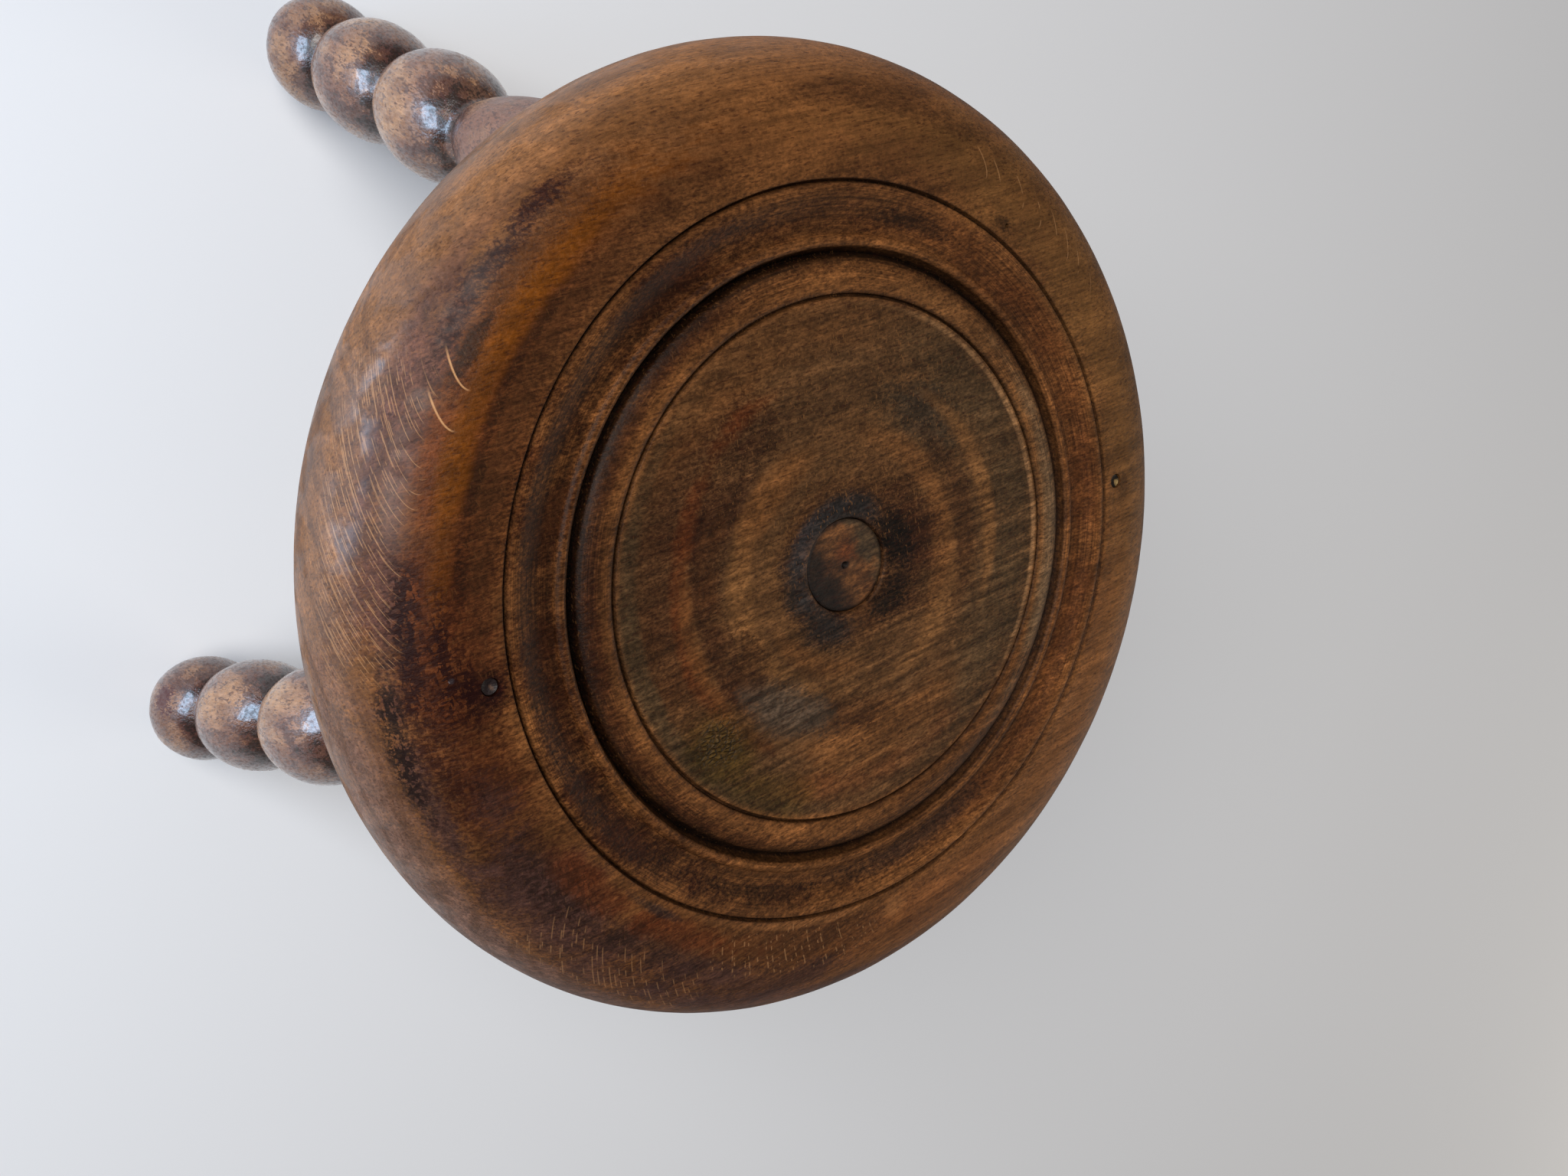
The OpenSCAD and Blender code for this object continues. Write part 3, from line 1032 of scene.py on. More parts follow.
@dataclass(frozen=True)
class LegFinish:
    """Old glossy varnish over lighter beech, rubbed through where the beads are widest.

    Attributes:
        name: The material's name.
        place: The leg's placement, in metres.
        seed: Where in the noise to start.
        remnants: Where flakes of an older dark red coat remain, in the leg's own millimetres.
    """

    name: str
    place: Matrix
    seed: float
    remnants: Triple | None = None

    def material(self) -> bpy.types.Material:
        """Wires one leg's material.

        Returns:
            The material.
        """
        graph = Graph(self.name)
        at = graph.millimetres(self.place)
        radius = graph.radius(at)
        mottle = graph.noise(at, (5, 5, 11), seed=self.seed, detail=4, rough=0.65)
        drift = graph.noise(at, (22, 22, 34), seed=self.seed + 3)
        fibre = graph.noise(at, (0.9, 0.9, 7), seed=self.seed + 5, rough=0.6)
        flecks = graph.noise(at, (0.7, 0.7, 2.6), seed=self.seed + 7, rough=0.6)
        pits = graph.noise(at, (1.2, 1.2, 2.0), seed=self.seed + 9, rough=0.6)
        veil = graph.noise(at, (13, 13, 20), seed=self.seed + 11, detail=3, rough=0.6)
        height = graph.height(at)
        swelling = graph.step(height, 150.0, 160.0)
        last_ball = graph.step(height, 30.0, 22.0)

        colour = graph.blend(graph.step(drift, 0.36, 0.62), Tint.BEECH, Tint.DULL_BEECH)
        colour = graph.tone(colour, graph.step(fibre, 0.25, 0.75, 0.74, 1.2))
        misted = graph.times(graph.step(veil, 0.45, 0.6, to_high=0.55), graph.times(swelling, -0.7, 1.0))
        colour = graph.blend(graph.times(last_ball, 0.3, misted), colour, Tint.PLUM)
        hollow = graph.times(swelling, -0.65, graph.step(radius, 23.6, 13.5))
        shade = graph.times(hollow, 0.36, graph.times(drift, 0.8))
        shade = graph.times(flecks, 0.5, graph.math("ADD", mottle, shade))
        varnish = graph.step(shade, 1.2, 1.27)
        colour = graph.blend(graph.times(varnish, 0.75), colour, Tint.DARK_VARNISH)
        thick = graph.step(shade, 1.37, 1.46)
        colour = graph.blend(graph.times(thick, 0.8), colour, Tint.SOOT)
        strokes = graph.noise(at, (1.1, 1.1, 3.4), seed=self.seed + 13, detail=1)
        colour = graph.blend(graph.step(strokes, 0.59, 0.64, to_high=0.7), colour, Tint.DARK_VARNISH)
        colour = graph.blend(graph.step(flecks, 0.6, 0.66, to_high=0.5), colour, Tint.DEEP_WALNUT)
        if self.remnants:
            low = graph.vector("DISTANCE", at, self.remnants)
            paint = graph.step(graph.times(low, -0.06, graph.math("ADD", flecks, mottle)), 0.62, 0.67)
            colour = graph.blend(graph.times(paint, 0.9), colour, Tint.OXBLOOD)
        graph.feed("Base Color", colour)

        graph.relief((mottle, 0.3), (fibre, 0.06), (flecks, -0.08), (pits, 0.26))
        rubbed = graph.times(varnish, -0.12, graph.step(mottle, 0.3, 0.7, 0.34, 0.48))
        graph.feed("Roughness", rubbed)
        graph.feed("Specular IOR Level", 0.38)
        glaze = graph.times(graph.step(pits, 0.35, 0.58, 0.2, 0.85), graph.times(swelling, -0.85, 1.0))
        graph.feed("Coat Weight", glaze)
        graph.feed("Coat Roughness", 0.11)
        return graph.material


@dataclass(frozen=True)
class PlugFinish:
    """End grain of the centre plug, orange-brown, with a dark side that is stain and painted shadow of the
    hole's near lip.
    """

    def material(self) -> bpy.types.Material:
        """Wires the plug's material.

        Returns:
            The material.
        """
        graph = Graph("plug_wood")
        at = graph.millimetres()
        blotches = graph.noise(at, (9, 7, 9), seed=1.3, detail=3, rough=0.6)
        mottle = graph.noise(at, (1.3, 0.8, 1.0), seed=4.3, detail=3, rough=0.7)
        flecks = graph.noise(at, (2.2, 0.6, 0.6), seed=7.7, detail=1)
        radius = graph.radius(at)
        streaks = graph.noise(at, (9, 1.8, 1.8), seed=2.9, rough=0.6)
        colour = graph.blend(graph.step(blotches, 0.32, 0.6), Tint.WALNUT, Tint.DEEP_WALNUT)
        warm = graph.times(blotches, 6.0, graph.vector("DISTANCE", at, (1.5, 3.5, 0.0)))
        colour = graph.blend(graph.step(warm, 9.0, 4.5, to_high=0.6), colour, Tint.RUST)
        spot = graph.times(mottle, 2.0, graph.vector("DISTANCE", at, (2.4, -0.6, 0.0)))
        colour = graph.blend(graph.step(spot, 3.4, 1.6, to_high=0.8), colour, Tint.TAN_ORANGE)
        side = graph.times(blotches, 16.0, graph.vector("DOT_PRODUCT", at, (0.9, 0.4, 0.0)))
        colour = graph.blend(graph.step(side, 12.0, 17.0, to_high=0.85), colour, Tint.OLIVE_GREY)
        # Painted shadow of the hole's near lip, with stain, darkens the plug's side towards -X.
        colour = graph.blend(graph.step(side, 7.0, -0.5, to_high=0.92), colour, Tint.SOOT)
        colour = graph.blend(graph.step(radius, 11.8, 13.6, to_high=0.6), colour, Tint.SOOT)
        slot = graph.vector("LENGTH", graph.vector("MULTIPLY", at, (0.75, 1.0, 0.0)))
        colour = graph.blend(graph.step(slot, 1.5, 0.8, to_high=0.95), colour, Tint.SOOT)
        colour = graph.tone(colour, graph.step(streaks, 0.34, 0.66, 1.25, 0.55))
        colour = graph.tone(colour, graph.step(mottle, 0.28, 0.72, 0.5, 1.5))
        colour = graph.blend(graph.step(flecks, 0.58, 0.7, to_high=0.5), colour, Tint.RED_BLACK)
        graph.feed("Base Color", colour)
        graph.feed("Roughness", graph.step(mottle, 0.3, 0.7, 0.52, 0.68))
        graph.feed("Specular IOR Level", 0.3)
        graph.relief((mottle, 0.16), (blotches, 0.3), (flecks, -0.05))
        return graph.material


@dataclass(frozen=True)
class NailFinish:
    """A nail's head, stained all over but for one rubbed spot; on the brass nail the dark is partly painted
    shadow in its hole, and the spot partly a painted highlight.

    Attributes:
        name: The material's name.
        bright: Colour of the rubbed spot, on the brass nail partly a painted highlight.
        dull: Colour of the rest, on the brass nail partly painted shadow.
        metallic: How much of it still looks like metal.
        spot: The middle of the lighter spot.
        reach: Its radius, in millimetres.
    """

    name: str
    bright: Colour
    dull: Colour
    metallic: float
    spot: Triple
    reach: float

    def material(self) -> bpy.types.Material:
        """Wires a nail's material.

        Returns:
            The material.
        """
        graph = Graph(self.name)
        at = graph.millimetres()
        tarnish = graph.noise(at, (0.9, 0.7, 0.7), seed=2.7, detail=3, rough=0.6)
        away = graph.vector(
            "LENGTH", graph.vector("MULTIPLY", graph.vector("SUBTRACT", at, self.spot), (1.0, 0.75, 0.0))
        )
        away = graph.times(tarnish, 1.6, away)
        # The lighter spot: rubbed metal, on the brass nail partly a painted highlight.
        colour = graph.blend(graph.step(away, self.reach + 1.1, self.reach + 0.5), self.dull, self.bright)
        colour = graph.tone(colour, graph.step(tarnish, 0.3, 0.7, 0.7, 1.3))
        graph.feed("Base Color", colour)
        graph.feed("Roughness", graph.step(tarnish, 0.35, 0.65, 0.4, 0.66))
        graph.feed("Metallic", self.metallic)
        graph.relief((tarnish, 0.12))
        return graph.material


@dataclass
class Seat:
    """The thick turned seat, its mouldings, its sockets and its holes.

    Lengths are in millimetres, and the mouldings' depths and drops are measured down from the rim's top.

    Attributes:
        radius: The seat's greatest radius.
        rim_z: Height of the rim's top.
        under_z: Height of the underside.
        edge_depth: How far inside the greatest radius the edge's rounding starts.
        edge_drop: How far down the seat is widest.
        rim_width: From the incised line out to the greatest radius.
        line_half: Half width of the incised line.
        line_depth: Its depth.
        hollow_inset: From the incised line in to the hollow's foot.
        hollow_depth: Depth of that foot.
        bead_inset: From the hollow's foot in to the bead's middle.
        bead_half: Half width of the bead.
        bead_drop: How far down its crest lies.
        groove_inset: From the bead's middle in to the groove.
        groove_depth: Depth of the groove.
        ring_inset: From the groove in to the ring's outer foot.
        ring_outer: From there in to the ring's crest.
        ring_inner: From the crest in to the fine line.
        ring_drop: How far down the crest lies.
        ring_foot_drop: How far down the outer foot lies.
        fine_half: Half width of the fine line.
        fine_depth: Its depth.
        dish_edge_drop: How far down the dished middle starts.
        dish_depth: How much further down it goes.
        plug_hole: Radius of the plug's hole.
        plug_lip: How far the hole's softened lip reaches.
        plug_length: Depth of the hole, below the plug's flat top at height 0.
        nail_outset: From the incised line out to the nails.
        nail_azimuth: Direction of the right nail, in degrees from +X; the left one is opposite.
        nail_hole: Radius of the hole that a nail's head sits in.
        nail_hole_depth: Its depth.
        worm_radius: Distance of the worm hole from the seat's axis.
        worm_azimuth: Its direction.
        worm_bore: Its radius.
        worm_depth: Its depth.
        steps: Number of faces round the seat.
    """

    radius: float
    rim_z: float
    under_z: float
    edge_depth: float = 28.5
    edge_drop: float = 31.5
    rim_width: float = 39.5
    line_half: float = 0.6
    line_depth: float = 1.3
    hollow_inset: float = 11.0
    hollow_depth: float = 3.0
    bead_inset: float = 4.2
    bead_half: float = 1.9
    bead_drop: float = 1.2
    groove_inset: float = 3.1
    groove_depth: float = 5.4
    ring_inset: float = 1.1
    ring_outer: float = 6.6
    ring_inner: float = 3.6
    ring_drop: float = 1.0
    ring_foot_drop: float = 3.6
    fine_half: float = 0.6
    fine_depth: float = 2.9
    dish_edge_drop: float = 1.3
    dish_depth: float = 1.5
    plug_hole: float = 13.8
    plug_lip: float = 1.3
    plug_length: float = 22.1
    nail_outset: float = 5.8
    nail_azimuth: float = -5.0
    nail_hole: float = 2.38
    nail_hole_depth: float = 1.95
    worm_radius: float = 109.7
    worm_azimuth: float = 46.8
    worm_bore: float = 0.7
    worm_depth: float = 5.0
    steps: int = 384

    @property
    def line_radius(self) -> float:
        """Radius of the incised line."""
        return self.radius - self.rim_width

    @property
    def nail_radius(self) -> float:
        """Distance of the nails from the seat's axis."""
        return self.line_radius + self.nail_outset

    def dish_height(self, radius: float, edge: float) -> float:
        """Height of the dished middle, from the rim's top."""
        return -self.dish_edge_drop - self.dish_depth * math.cos(math.pi / 2 * radius / edge)

    def outline(self) -> list[Point]:
        """Half outline, from the plug's hole over the mouldings and the edge to the underside's middle.

        Returns:
            Radius and height of each point.
        """
        hollow = self.line_radius - self.hollow_inset
        bead = hollow - self.bead_inset
        groove = bead - self.groove_inset
        crest = groove - self.ring_inset - self.ring_outer
        fine = crest - self.ring_inner
        dish = fine - self.fine_half
        lip = self.plug_hole + self.plug_lip
        floor = -self.rim_z - self.plug_length
        lip_z = self.dish_height(lip, dish)
        hole = self.plug_hole
        top = [(0.0, floor), (hole, floor), (hole, lip_z - 6), (hole, lip_z - 0.9)]
        top += [(hole + 0.2, lip_z - 0.5), (hole + 0.6, lip_z - 0.17), (lip, lip_z)]
        count = 30
        for i in range(1, count + 1):
            place = lip + (dish - lip - 0.1) * i / count
            top.append((place, self.dish_height(place, dish)))
        top += [(dish + 0.15, -self.dish_edge_drop - 0.25), (fine - 0.12, -self.fine_depth + 0.15)]
        top.append((fine + 0.12, -self.fine_depth + 0.1))
        inner = (self.ring_inner - self.fine_half / 2, self.fine_depth - 2 * self.ring_drop)
        top += arc((crest, self.ring_drop - self.fine_depth), inner, 180, 90, 12)[:-1]
        outer = (self.ring_outer, self.ring_foot_drop - self.ring_drop)
        top += arc((crest, -self.ring_foot_drop), outer, 90, 0, 18)
        top += [(groove - 0.35, -self.groove_depth + 0.35), (groove, -self.groove_depth)]
        top += [(groove + 0.4, -self.groove_depth + 0.4)]
        bulge = (self.bead_half, self.hollow_depth - self.bead_drop)
        top += arc((bead, -self.hollow_depth), bulge, 180, 0, 14)
        top += slope((hollow, -self.hollow_depth), (self.line_radius - 2 * self.line_half, 0.0), 16)
        line = self.line_radius
        half = self.line_half
        side = ((0.9, -0.12), (0.3, 0.2 - self.line_depth))
        top += [(line - half * share, height) for share, height in side]
        top.append((line, -self.line_depth))
        top += [(line + half * share, height) for share, height in reversed(side)]
        top.append((line + half * 1.4, 0.0))
        edge = self.radius - self.edge_depth
        start = line + half * 1.4
        top += [(start + (edge - start) * i / 5, 0.0) for i in range(1, 5)]
        top += arc((edge, -self.edge_drop), (self.edge_depth, self.edge_drop), 90, 0, 26)
        lower = self.rim_z - self.under_z - self.edge_drop
        top += arc((edge, -self.edge_drop), (self.edge_depth, lower), 0, -90, 22)[1:]
        under = self.under_z - self.rim_z
        top += [(edge * share, under) for share in (0.8, 0.6, 0.4, 0.2, 0.0)]
        return [(radius, height + self.rim_z) for radius, height in top]

    def build(self, legs: Sequence["TurnedLeg"]) -> bpy.types.Object:
        """Turns the seat, wears it, and bores its sockets and holes.

        Args:
            legs: The legs whose tenons it holds.

        Returns:
            The finished piece.
        """
        piece = lathe("turned_seat", self.outline(), self.steps)
        wear_down(piece, depth=0.22, reach=17.0)
        cutters = [leg.socket() for leg in legs]
        for turn in (self.nail_azimuth, self.nail_azimuth + 180):
            angle = math.radians(turn)
            x, y = self.nail_radius * math.cos(angle), self.nail_radius * math.sin(angle)
            floor = (x, y, self.rim_z - self.nail_hole_depth)
            cutters.append(drill(self.nail_hole, floor, Vector((0, 0, 1)), length=4.0, sides=32))
        worm = math.radians(self.worm_azimuth)
        x, y = self.worm_radius * math.cos(worm), self.worm_radius * math.sin(worm)
        floor = (x, y, self.rim_z - self.worm_depth)
        cutters.append(drill(self.worm_bore, floor, Vector((0.1, 0.1, 1)), length=8.0, sides=16))
        combine(piece, cutters, "DIFFERENCE")
        smooth(piece, crease=38)
        rounding = (self.edge_depth + self.edge_drop) / 2
        finish = SeatFinish(self.radius - self.edge_depth, self.edge_depth, rounding)
        hand_over(piece, "seat", finish.material())
        return piece


@dataclass
class TurnedLeg:
    """One bead-turned leg, leaning out from the seat: a ball, long beads and a swelling.

    Attributes:
        node: The CAD node that it replaces.
        rim_z: Height of the seat's rim.
        under_z: Height of the seat's underside.
        floor_z: Height of the floor.
        lean: Its lean from upright, in degrees.
        azimuth: Direction that it leans in, in degrees from +X.
        seed: Where in the noise its finish starts.
        remnants: Where flakes of an older dark red coat remain, in the leg's own millimetres.
        start_radius: Distance of its axis from the seat's axis, at the height of the rim.
        crest: Radius of the beads where they are widest.
        neck: Radius of the necks between them.
        neck_length: Length of a neck.
        ball_half: Half length of the ball that it stands on, before its neck cuts into it.
        ball_height: Height of that ball's middle above the floor.
        oval_half: Half length of a long bead, in the same way.
        oval_count: Number of long beads.
        vase_half: Half length of the swelling that runs into the seat.
        tenon_radius: Radius of the tenon.
        tenon_length: How far it reaches past the underside.
        tenon_gap: Room round it in its socket.
        glue_space: Room past its end.
        steps: Number of faces round the leg.
    """

    node: str
    rim_z: float
    under_z: float
    floor_z: float
    lean: float
    azimuth: float
    seed: float
    remnants: Triple | None = None
    start_radius: float = 73.6
    crest: float = 24.0
    neck: float = 12.5
    neck_length: float = 1.0
    ball_half: float = 29.0
    ball_height: float = 26.0
    oval_half: float = 37.0
    oval_count: int = 2
    vase_half: float = 82.9
    tenon_radius: float = 12.0
    tenon_length: float = 36.0
    tenon_gap: float = 0.15
    glue_space: float = 1.5
    steps: int = 128

    @property
    def share(self) -> float:
        """Share of a bead's half length that is left between its necks."""
        return math.sqrt(1 - (self.neck / self.crest) ** 2)

    def along(self, height: float) -> float:
        """Distance along the axis from the ball's middle up to a height."""
        return (height - self.floor_z - self.ball_height) / math.cos(math.radians(self.lean))

    def place(self) -> Matrix:
        """Placement of the leg's own frame, with the ball's middle at its origin.

        Returns:
            The placement, in metres.
        """
        drop = self.rim_z - self.floor_z - self.ball_height
        out = (self.start_radius + drop * math.tan(math.radians(self.lean))) * MM
        shift = Matrix.Translation((out, 0, (self.floor_z + self.ball_height) * MM))
        turned = Matrix.Rotation(math.radians(self.azimuth), 4, "Z")
        return turned @ shift @ Matrix.Rotation(math.radians(-self.lean), 4, "Y")

    def axis(self) -> Vector:
        """Direction of the leg's axis, going up."""
        return self.place().to_3x3() @ Vector((0, 0, 1))

    def peg(self, radius: float, length: float) -> bpy.types.Object:
        """A cylinder along the leg's axis, from inside the leg's top.

        Args:
            radius: Its radius.
            length: Its reach past the underside, along the leg.

        Returns:
            The cylinder, starting inside the leg's top.
        """
        low = self.along(self.under_z) - self.tenon_radius
        bottom = self.place() @ Vector((0, 0, low * MM)) / MM
        return drill(radius, tuple(bottom), self.axis(), self.tenon_radius + length, 64)

    def socket(self) -> bpy.types.Object:
        """The cutter of the tenon's socket, with room round it and for glue."""
        return self.peg(self.tenon_radius + self.tenon_gap, self.tenon_length + self.glue_space)

    def outline(self) -> list[Point]:
        """Half outline of the whole leg, past the underside, with softened necks.

        Returns:
            Radius and height of each point, from the ball's middle.
        """
        neck_angle = math.degrees(math.asin(self.share))
        reach = self.crest * math.tan(math.radians(self.lean)) + 4
        top = self.along(self.under_z) + reach
        middle = 0.0
        points = arc((0, 0), (self.crest, self.ball_half), -90, neck_angle, 34)[:-1]
        half = self.ball_half
        for _ in range(self.oval_count):
            neck = middle + half * self.share + self.neck_length / 2
            points.append((self.neck + 0.15, neck))
            middle = neck + self.neck_length / 2 + self.oval_half * self.share
            half = self.oval_half
            points += arc((0, middle), (self.crest, half), -neck_angle, neck_angle, 28)[1:-1]
        neck = middle + half * self.share + self.neck_length / 2
        points.append((self.neck + 0.15, neck))
        middle = neck + self.neck_length / 2 + self.vase_half * self.share
        last = math.degrees(math.asin((top - middle) / self.vase_half))
        points += arc((0, middle), (self.crest, self.vase_half), -neck_angle, last, 48)[1:]
        points.append((0.0, top))
        points[0] = (0.0, points[0][1])
        return points

    def build(self) -> bpy.types.Object:
        """Turns, wears and places the leg, cuts it flat at both ends and adds its tenon.

        Returns:
            The finished piece.
        """
        piece = lathe("turned_" + self.node, self.outline(), self.steps)
        wear_down(piece, depth=0.5, reach=9.0)
        activate(piece)
        piece.matrix_world = self.place()
        bpy.ops.object.transform_apply(location=True, rotation=True, scale=True)
        with editing(piece):
            for height, inner in ((self.under_z, False), (self.floor_z, True)):
                bpy.ops.mesh.select_all(action="SELECT")
                bpy.ops.mesh.bisect(
                    plane_co=(0, 0, height * MM), plane_no=(0, 0, 1), use_fill=True,
                    clear_inner=inner, clear_outer=not inner, threshold=MERGE_GAP,
                )
        combine(piece, [self.peg(self.tenon_radius, self.tenon_length)], "UNION")
        smooth(piece, crease=55)
        finish = LegFinish("leg_wood_" + self.node, self.place(), self.seed, self.remnants)
        hand_over(piece, self.node, finish.material())
        return piece


@dataclass
class CentrePlug:
    """The round plug in the middle of the seat, with the lathe's centre mark.

    Attributes:
        radius: Its radius.
        length: From its flat top down to its foot.
        steps: Number of faces round it.
    """

    radius: float
    length: float
    steps: int = 96

    def outline(self) -> list[Point]:
        """Half outline, from the foot up to the centre mark's bottom.

        Returns:
            Radius and height of each point.
        """
        side, foot = self.radius, -self.length
        points = [(0.0, foot), (side - 0.6, foot), (side, foot + 0.6), (side, -12.0)]
        points += [(side, -1.0), (side - 0.1, -0.35), (side - 0.5, -0.08), (side - 1.2, 0.0)]
        for share in (0.8, 0.66, 0.52, 0.4, 0.28, 0.18, 0.11):
            points.append((side * share, -0.25 * (1 - share**2)))
        points += [(1.0, -0.45), (0.7, -1.2), (0.35, -2.0), (0.0, -2.4)]
        return points

    def build(self) -> bpy.types.Object:
        """Turns the plug and dresses it.

        Returns:
            The finished piece.
        """
        piece = lathe("turned_centre_plug", self.outline(), self.steps)
        wear_down(piece, depth=0.2, reach=4.0)
        smooth(piece, crease=40)
        hand_over(piece, "centre_plug", PlugFinish().material())
        return piece


@dataclass
class Nail:
    """One of the two nails whose heads lie just below the rim.

    Attributes:
        node: The CAD node that it replaces.
        place_radius: Distance from the seat's axis.
        azimuth: Direction from the seat's axis, in degrees from +X.
        top_z: Height of its head's top.
        finish: What it looks like.
        head_radius: Radius of its head.
        head: Thickness of its head.
        shank: Radius of its shank.
        length: Length of its shank.
        steps: Number of faces round it.
    """

    node: str
    place_radius: float
    azimuth: float
    top_z: float
    finish: NailFinish
    head_radius: float = 2.3
    head: float = 1.2
    shank: float = 1.1
    length: float = 26.0
    steps: int = 40

    def outline(self) -> list[Point]:
        """Half outline, from the point up to the dented middle of the head.

        Returns:
            Radius and height of each point.
        """
        foot = -self.head - self.length
        side = self.head_radius
        shank = self.shank
        points = [(0.0, foot), (0.35, foot + 0.6), (shank, foot + 4), (shank, -self.head - 8)]
        points += [(shank, -self.head - 0.5), (shank + 0.3, -self.head - 0.05), (side - 0.2, -self.head)]
        points += [(side, -self.head + 0.2), (side, -0.35), (side - 0.1, -0.12), (side - 0.3, -0.03)]
        points += [(side * 0.7, -0.2), (side * 0.45, -0.42), (side * 0.2, -0.5), (0.0, -0.52)]
        return points

    def build(self) -> bpy.types.Object:
        """Forms the nail and drives it into its place.

        Returns:
            The finished piece.
        """
        piece = lathe("driven_" + self.node, self.outline(), self.steps)
        wear_down(piece, depth=0.15, reach=1.2)
        angle = math.radians(self.azimuth)
        spot = (self.place_radius * math.cos(angle), self.place_radius * math.sin(angle), self.top_z)
        activate(piece)
        piece.location = Vector(spot) * MM
        bpy.ops.object.transform_apply(location=True, rotation=True, scale=True)
        smooth(piece, crease=40)
        hand_over(piece, self.node, self.finish.material())
        return piece


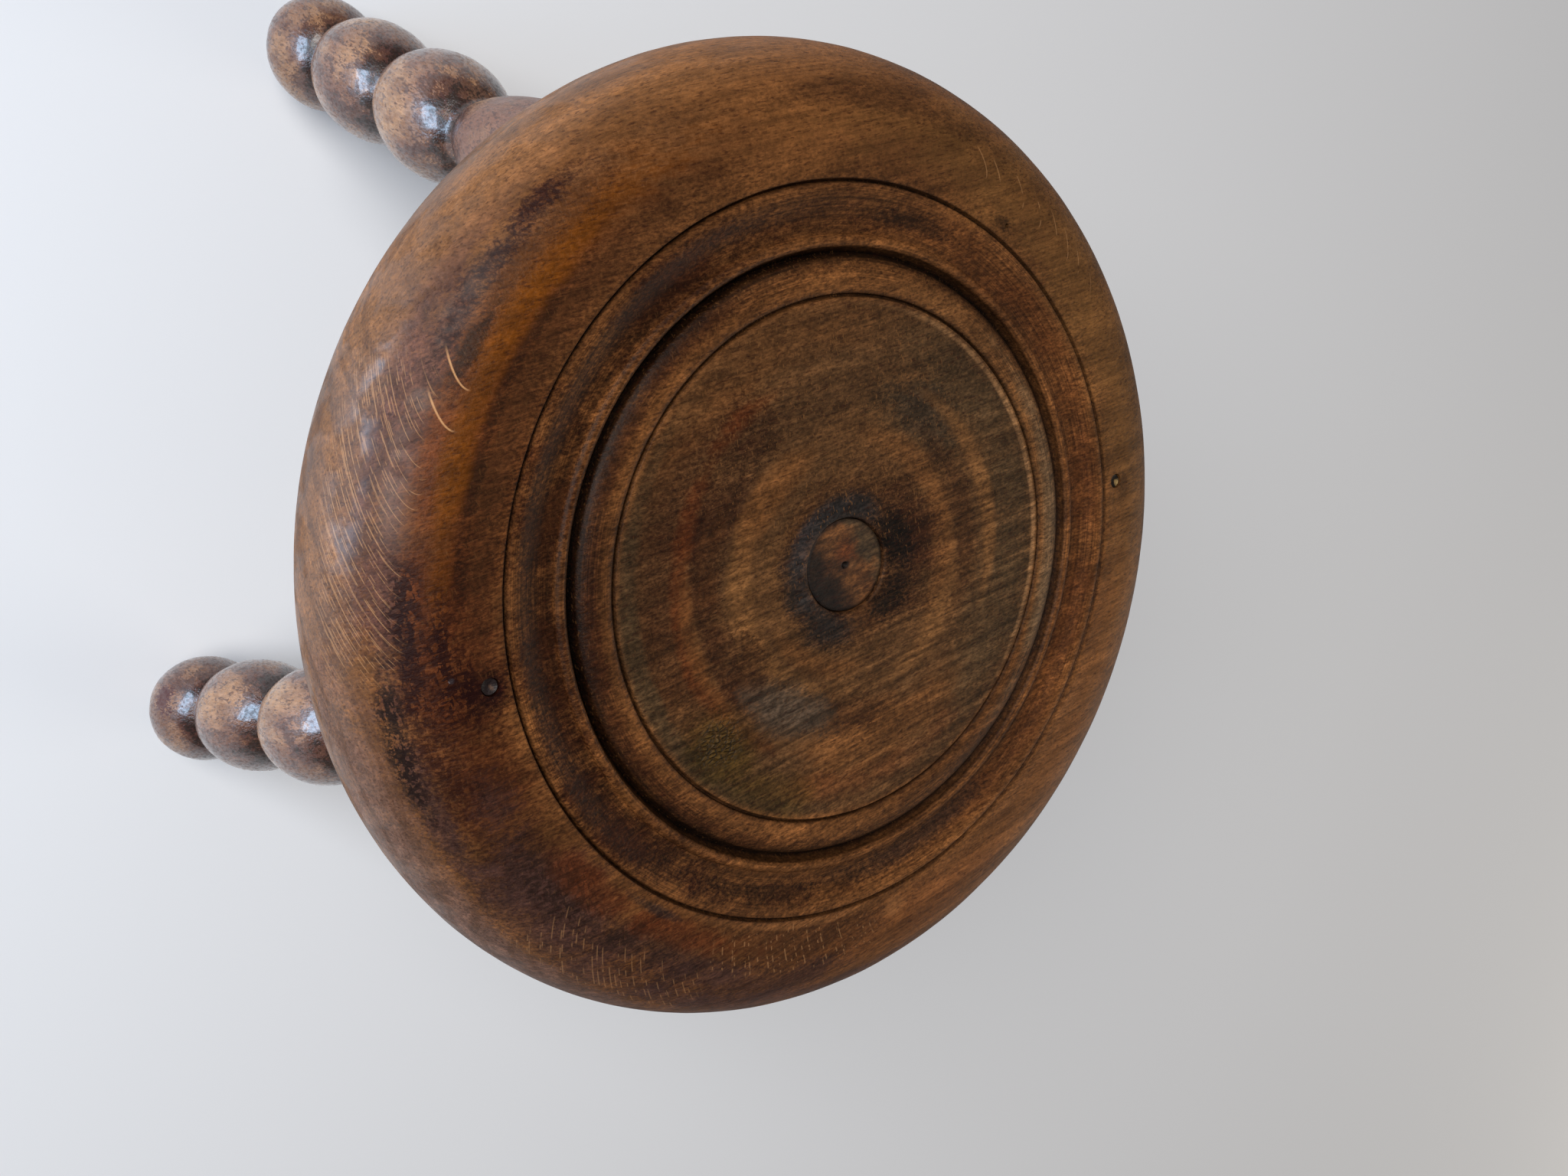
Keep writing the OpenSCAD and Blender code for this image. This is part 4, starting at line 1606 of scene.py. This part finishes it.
@dataclass
class Studio:
    """The floor, the light and the camera.

    Attributes:
        floor_z: Height of the floor, in millimetres.
        camera_place: Place of the camera, in millimetres.
        camera_right: Direction of the photograph's right side.
        camera_up: Direction of its upper side.
        sensor: Width of the sensor, in millimetres.
        focal_pixels: Focal length, in pixels of the photograph.
        image_width: Width of the photograph, in pixels.
        backdrop: Colour of the floor.
    """

    floor_z: float
    camera_place: Triple = (-196.16, 124.29, 280.23)
    camera_right: Triple = (0.79664, -0.18393, 0.57579)
    camera_up: Triple = (0.34758, 0.91872, -0.18744)
    sensor: float = 36.0
    focal_pixels: float = 1650.0
    image_width: float = 2048.0
    backdrop: Colour = srgb(226, 226, 228)

    def build(self) -> None:
        """Makes the floor, the lights, the surroundings and the camera."""
        self.lay_floor()
        self.set_camera()
        self.window_light()
        self.soft_lights()
        self.surroundings()

    def axes(self) -> tuple[Vector, Vector, Vector]:
        """The camera's own directions.

        Returns:
            Its right, its up and its backward direction, each of length 1.
        """
        right = Vector(self.camera_right).normalized()
        up = Vector(self.camera_up)
        up = (up - right * up.dot(right)).normalized()
        return right, up, right.cross(up)

    def lay_floor(self) -> None:
        """A plain pale floor under the feet."""
        deselect()
        bpy.ops.mesh.primitive_plane_add(size=14, location=(0, 0, self.floor_z * MM))
        floor = bpy.context.object
        floor.name = "studio_floor"
        graph = Graph("studio_floor")
        graph.feed("Base Color", self.backdrop)
        graph.feed("Roughness", 0.85)
        graph.feed("Specular IOR Level", 0.25)
        floor.data.materials.append(graph.material)

    def set_camera(self) -> None:
        """The camera, at the photograph's angle and distance."""
        right, up, back = self.axes()
        turned = Matrix((right, up, back)).transposed().to_4x4()
        deselect()
        bpy.ops.object.camera_add()
        camera = bpy.context.object
        camera.matrix_world = Matrix.Translation(Vector(self.camera_place) * MM) @ turned
        camera.data.sensor_fit = "HORIZONTAL"
        camera.data.sensor_width = self.sensor
        camera.data.lens = self.sensor * self.focal_pixels / self.image_width
        camera.data.clip_start = 0.01
        bpy.context.scene.camera = camera

    def add_light(
        self, name: str, toward: Vector, distance: float, size: Point, watts: float, tint: Colour
    ) -> None:
        """Adds a soft rectangular light that faces the seat.

        Args:
            name: The light's name.
            toward: Direction from the seat to the light.
            distance: How far away it is, in metres.
            size: Its width and height, in metres.
            watts: Its power.
            tint: Its colour.
        """
        direction = toward.normalized()
        deselect()
        bpy.ops.object.light_add(type="AREA", location=direction * distance)
        light = bpy.context.object
        light.name = name
        light.rotation_euler = direction.to_track_quat("Z", "Y").to_euler()
        light.data.shape = "RECTANGLE"
        light.data.size, light.data.size_y = size
        light.data.energy = watts
        light.data.color = tint

    def window_light(self) -> None:
        """The cool window light that grazes the seat from the left."""
        right, up, back = self.axes()
        toward = -0.86 * right + 0.18 * up + 0.48 * back
        self.add_light(
            "window", toward, distance=0.95, size=(0.65, 0.34), watts=9.5, tint=(0.54, 0.74, 1.0)
        )

    def soft_lights(self) -> None:
        """Soft light from above, behind the camera, and a little from the right."""
        above = Vector((-0.77, 0.64, 1.0))
        self.add_light("ceiling", above, distance=3.2, size=(2.4, 2.4), watts=125, tint=(1.0, 0.98, 0.95))
        right = Vector((0.9, -0.7, 0.25))
        self.add_light("bounce", right, distance=3.0, size=(2.0, 1.6), watts=20, tint=(1.0, 0.92, 0.8))

    def surroundings(self) -> None:
        """An even, pale surround."""
        world = bpy.data.worlds.new("studio_surround")
        world.use_nodes = True
        background = world.node_tree.nodes["Background"]
        background.inputs["Color"].default_value = (0.82, 0.87, 0.95, 1.0)
        background.inputs["Strength"].default_value = 0.12
        bpy.context.scene.world = world
        bpy.context.scene.view_settings.view_transform = "Standard"


def make_legs(rim_z: float, under_z: float, floor_z: float) -> list[TurnedLeg]:
    """The three legs, each with its own lean.

    Args:
        rim_z: Height of the rim's top.
        under_z: Height of the seat's underside.
        floor_z: Height of the floor.

    Returns:
        The legs, not yet built.
    """
    heights = (rim_z, under_z, floor_z)
    return [
        TurnedLeg("back_leg", *heights, lean=18.5, azimuth=90.0, seed=2.0),
        TurnedLeg("left_leg", *heights, lean=14.9, azimuth=210.0, seed=31.0, remnants=REMNANTS),
        TurnedLeg("right_leg", *heights, lean=16.7, azimuth=330.0, seed=57.0),
    ]


def main() -> None:
    """Builds the stool's pieces in order, then the studio round them."""
    logging.basicConfig(level=logging.INFO, format="%(name)s: %(message)s")
    low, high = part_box("seat")
    floor_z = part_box("back_leg")[0].z / MM
    seat = Seat((high.x - low.x) / 2 / MM, high.z / MM, low.z / MM)
    legs = make_legs(seat.rim_z, seat.under_z, floor_z)
    seat.build(legs)
    for leg in legs:
        leg.build()
    plug_low, plug_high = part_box("centre_plug")
    CentrePlug((plug_high.x - plug_low.x) / 2 / MM, -plug_low.z / MM).build()
    # The brass nail's lighter spot is partly a painted highlight on its slanted head, and its dark rest
    # partly painted shadow in its hole.
    brass = NailFinish(
        "nail_brass", bright=srgb(150, 122, 76), dull=srgb(28, 21, 14), metallic=0.4,
        spot=(112.0, -10.8, 0.0), reach=0.9,
    )
    iron = NailFinish(
        "nail_iron", bright=srgb(84, 60, 46), dull=srgb(24, 8, 7), metallic=0.0,
        spot=(-110.4, 9.2, 0.0), reach=0.5,
    )
    top_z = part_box("right_nail")[1].z / MM
    Nail("right_nail", seat.nail_radius, seat.nail_azimuth, top_z, brass).build()
    Nail("left_nail", seat.nail_radius, seat.nail_azimuth + 180, top_z, iron).build()
    Studio(floor_z).build()


if __name__ == "__main__":
    main()
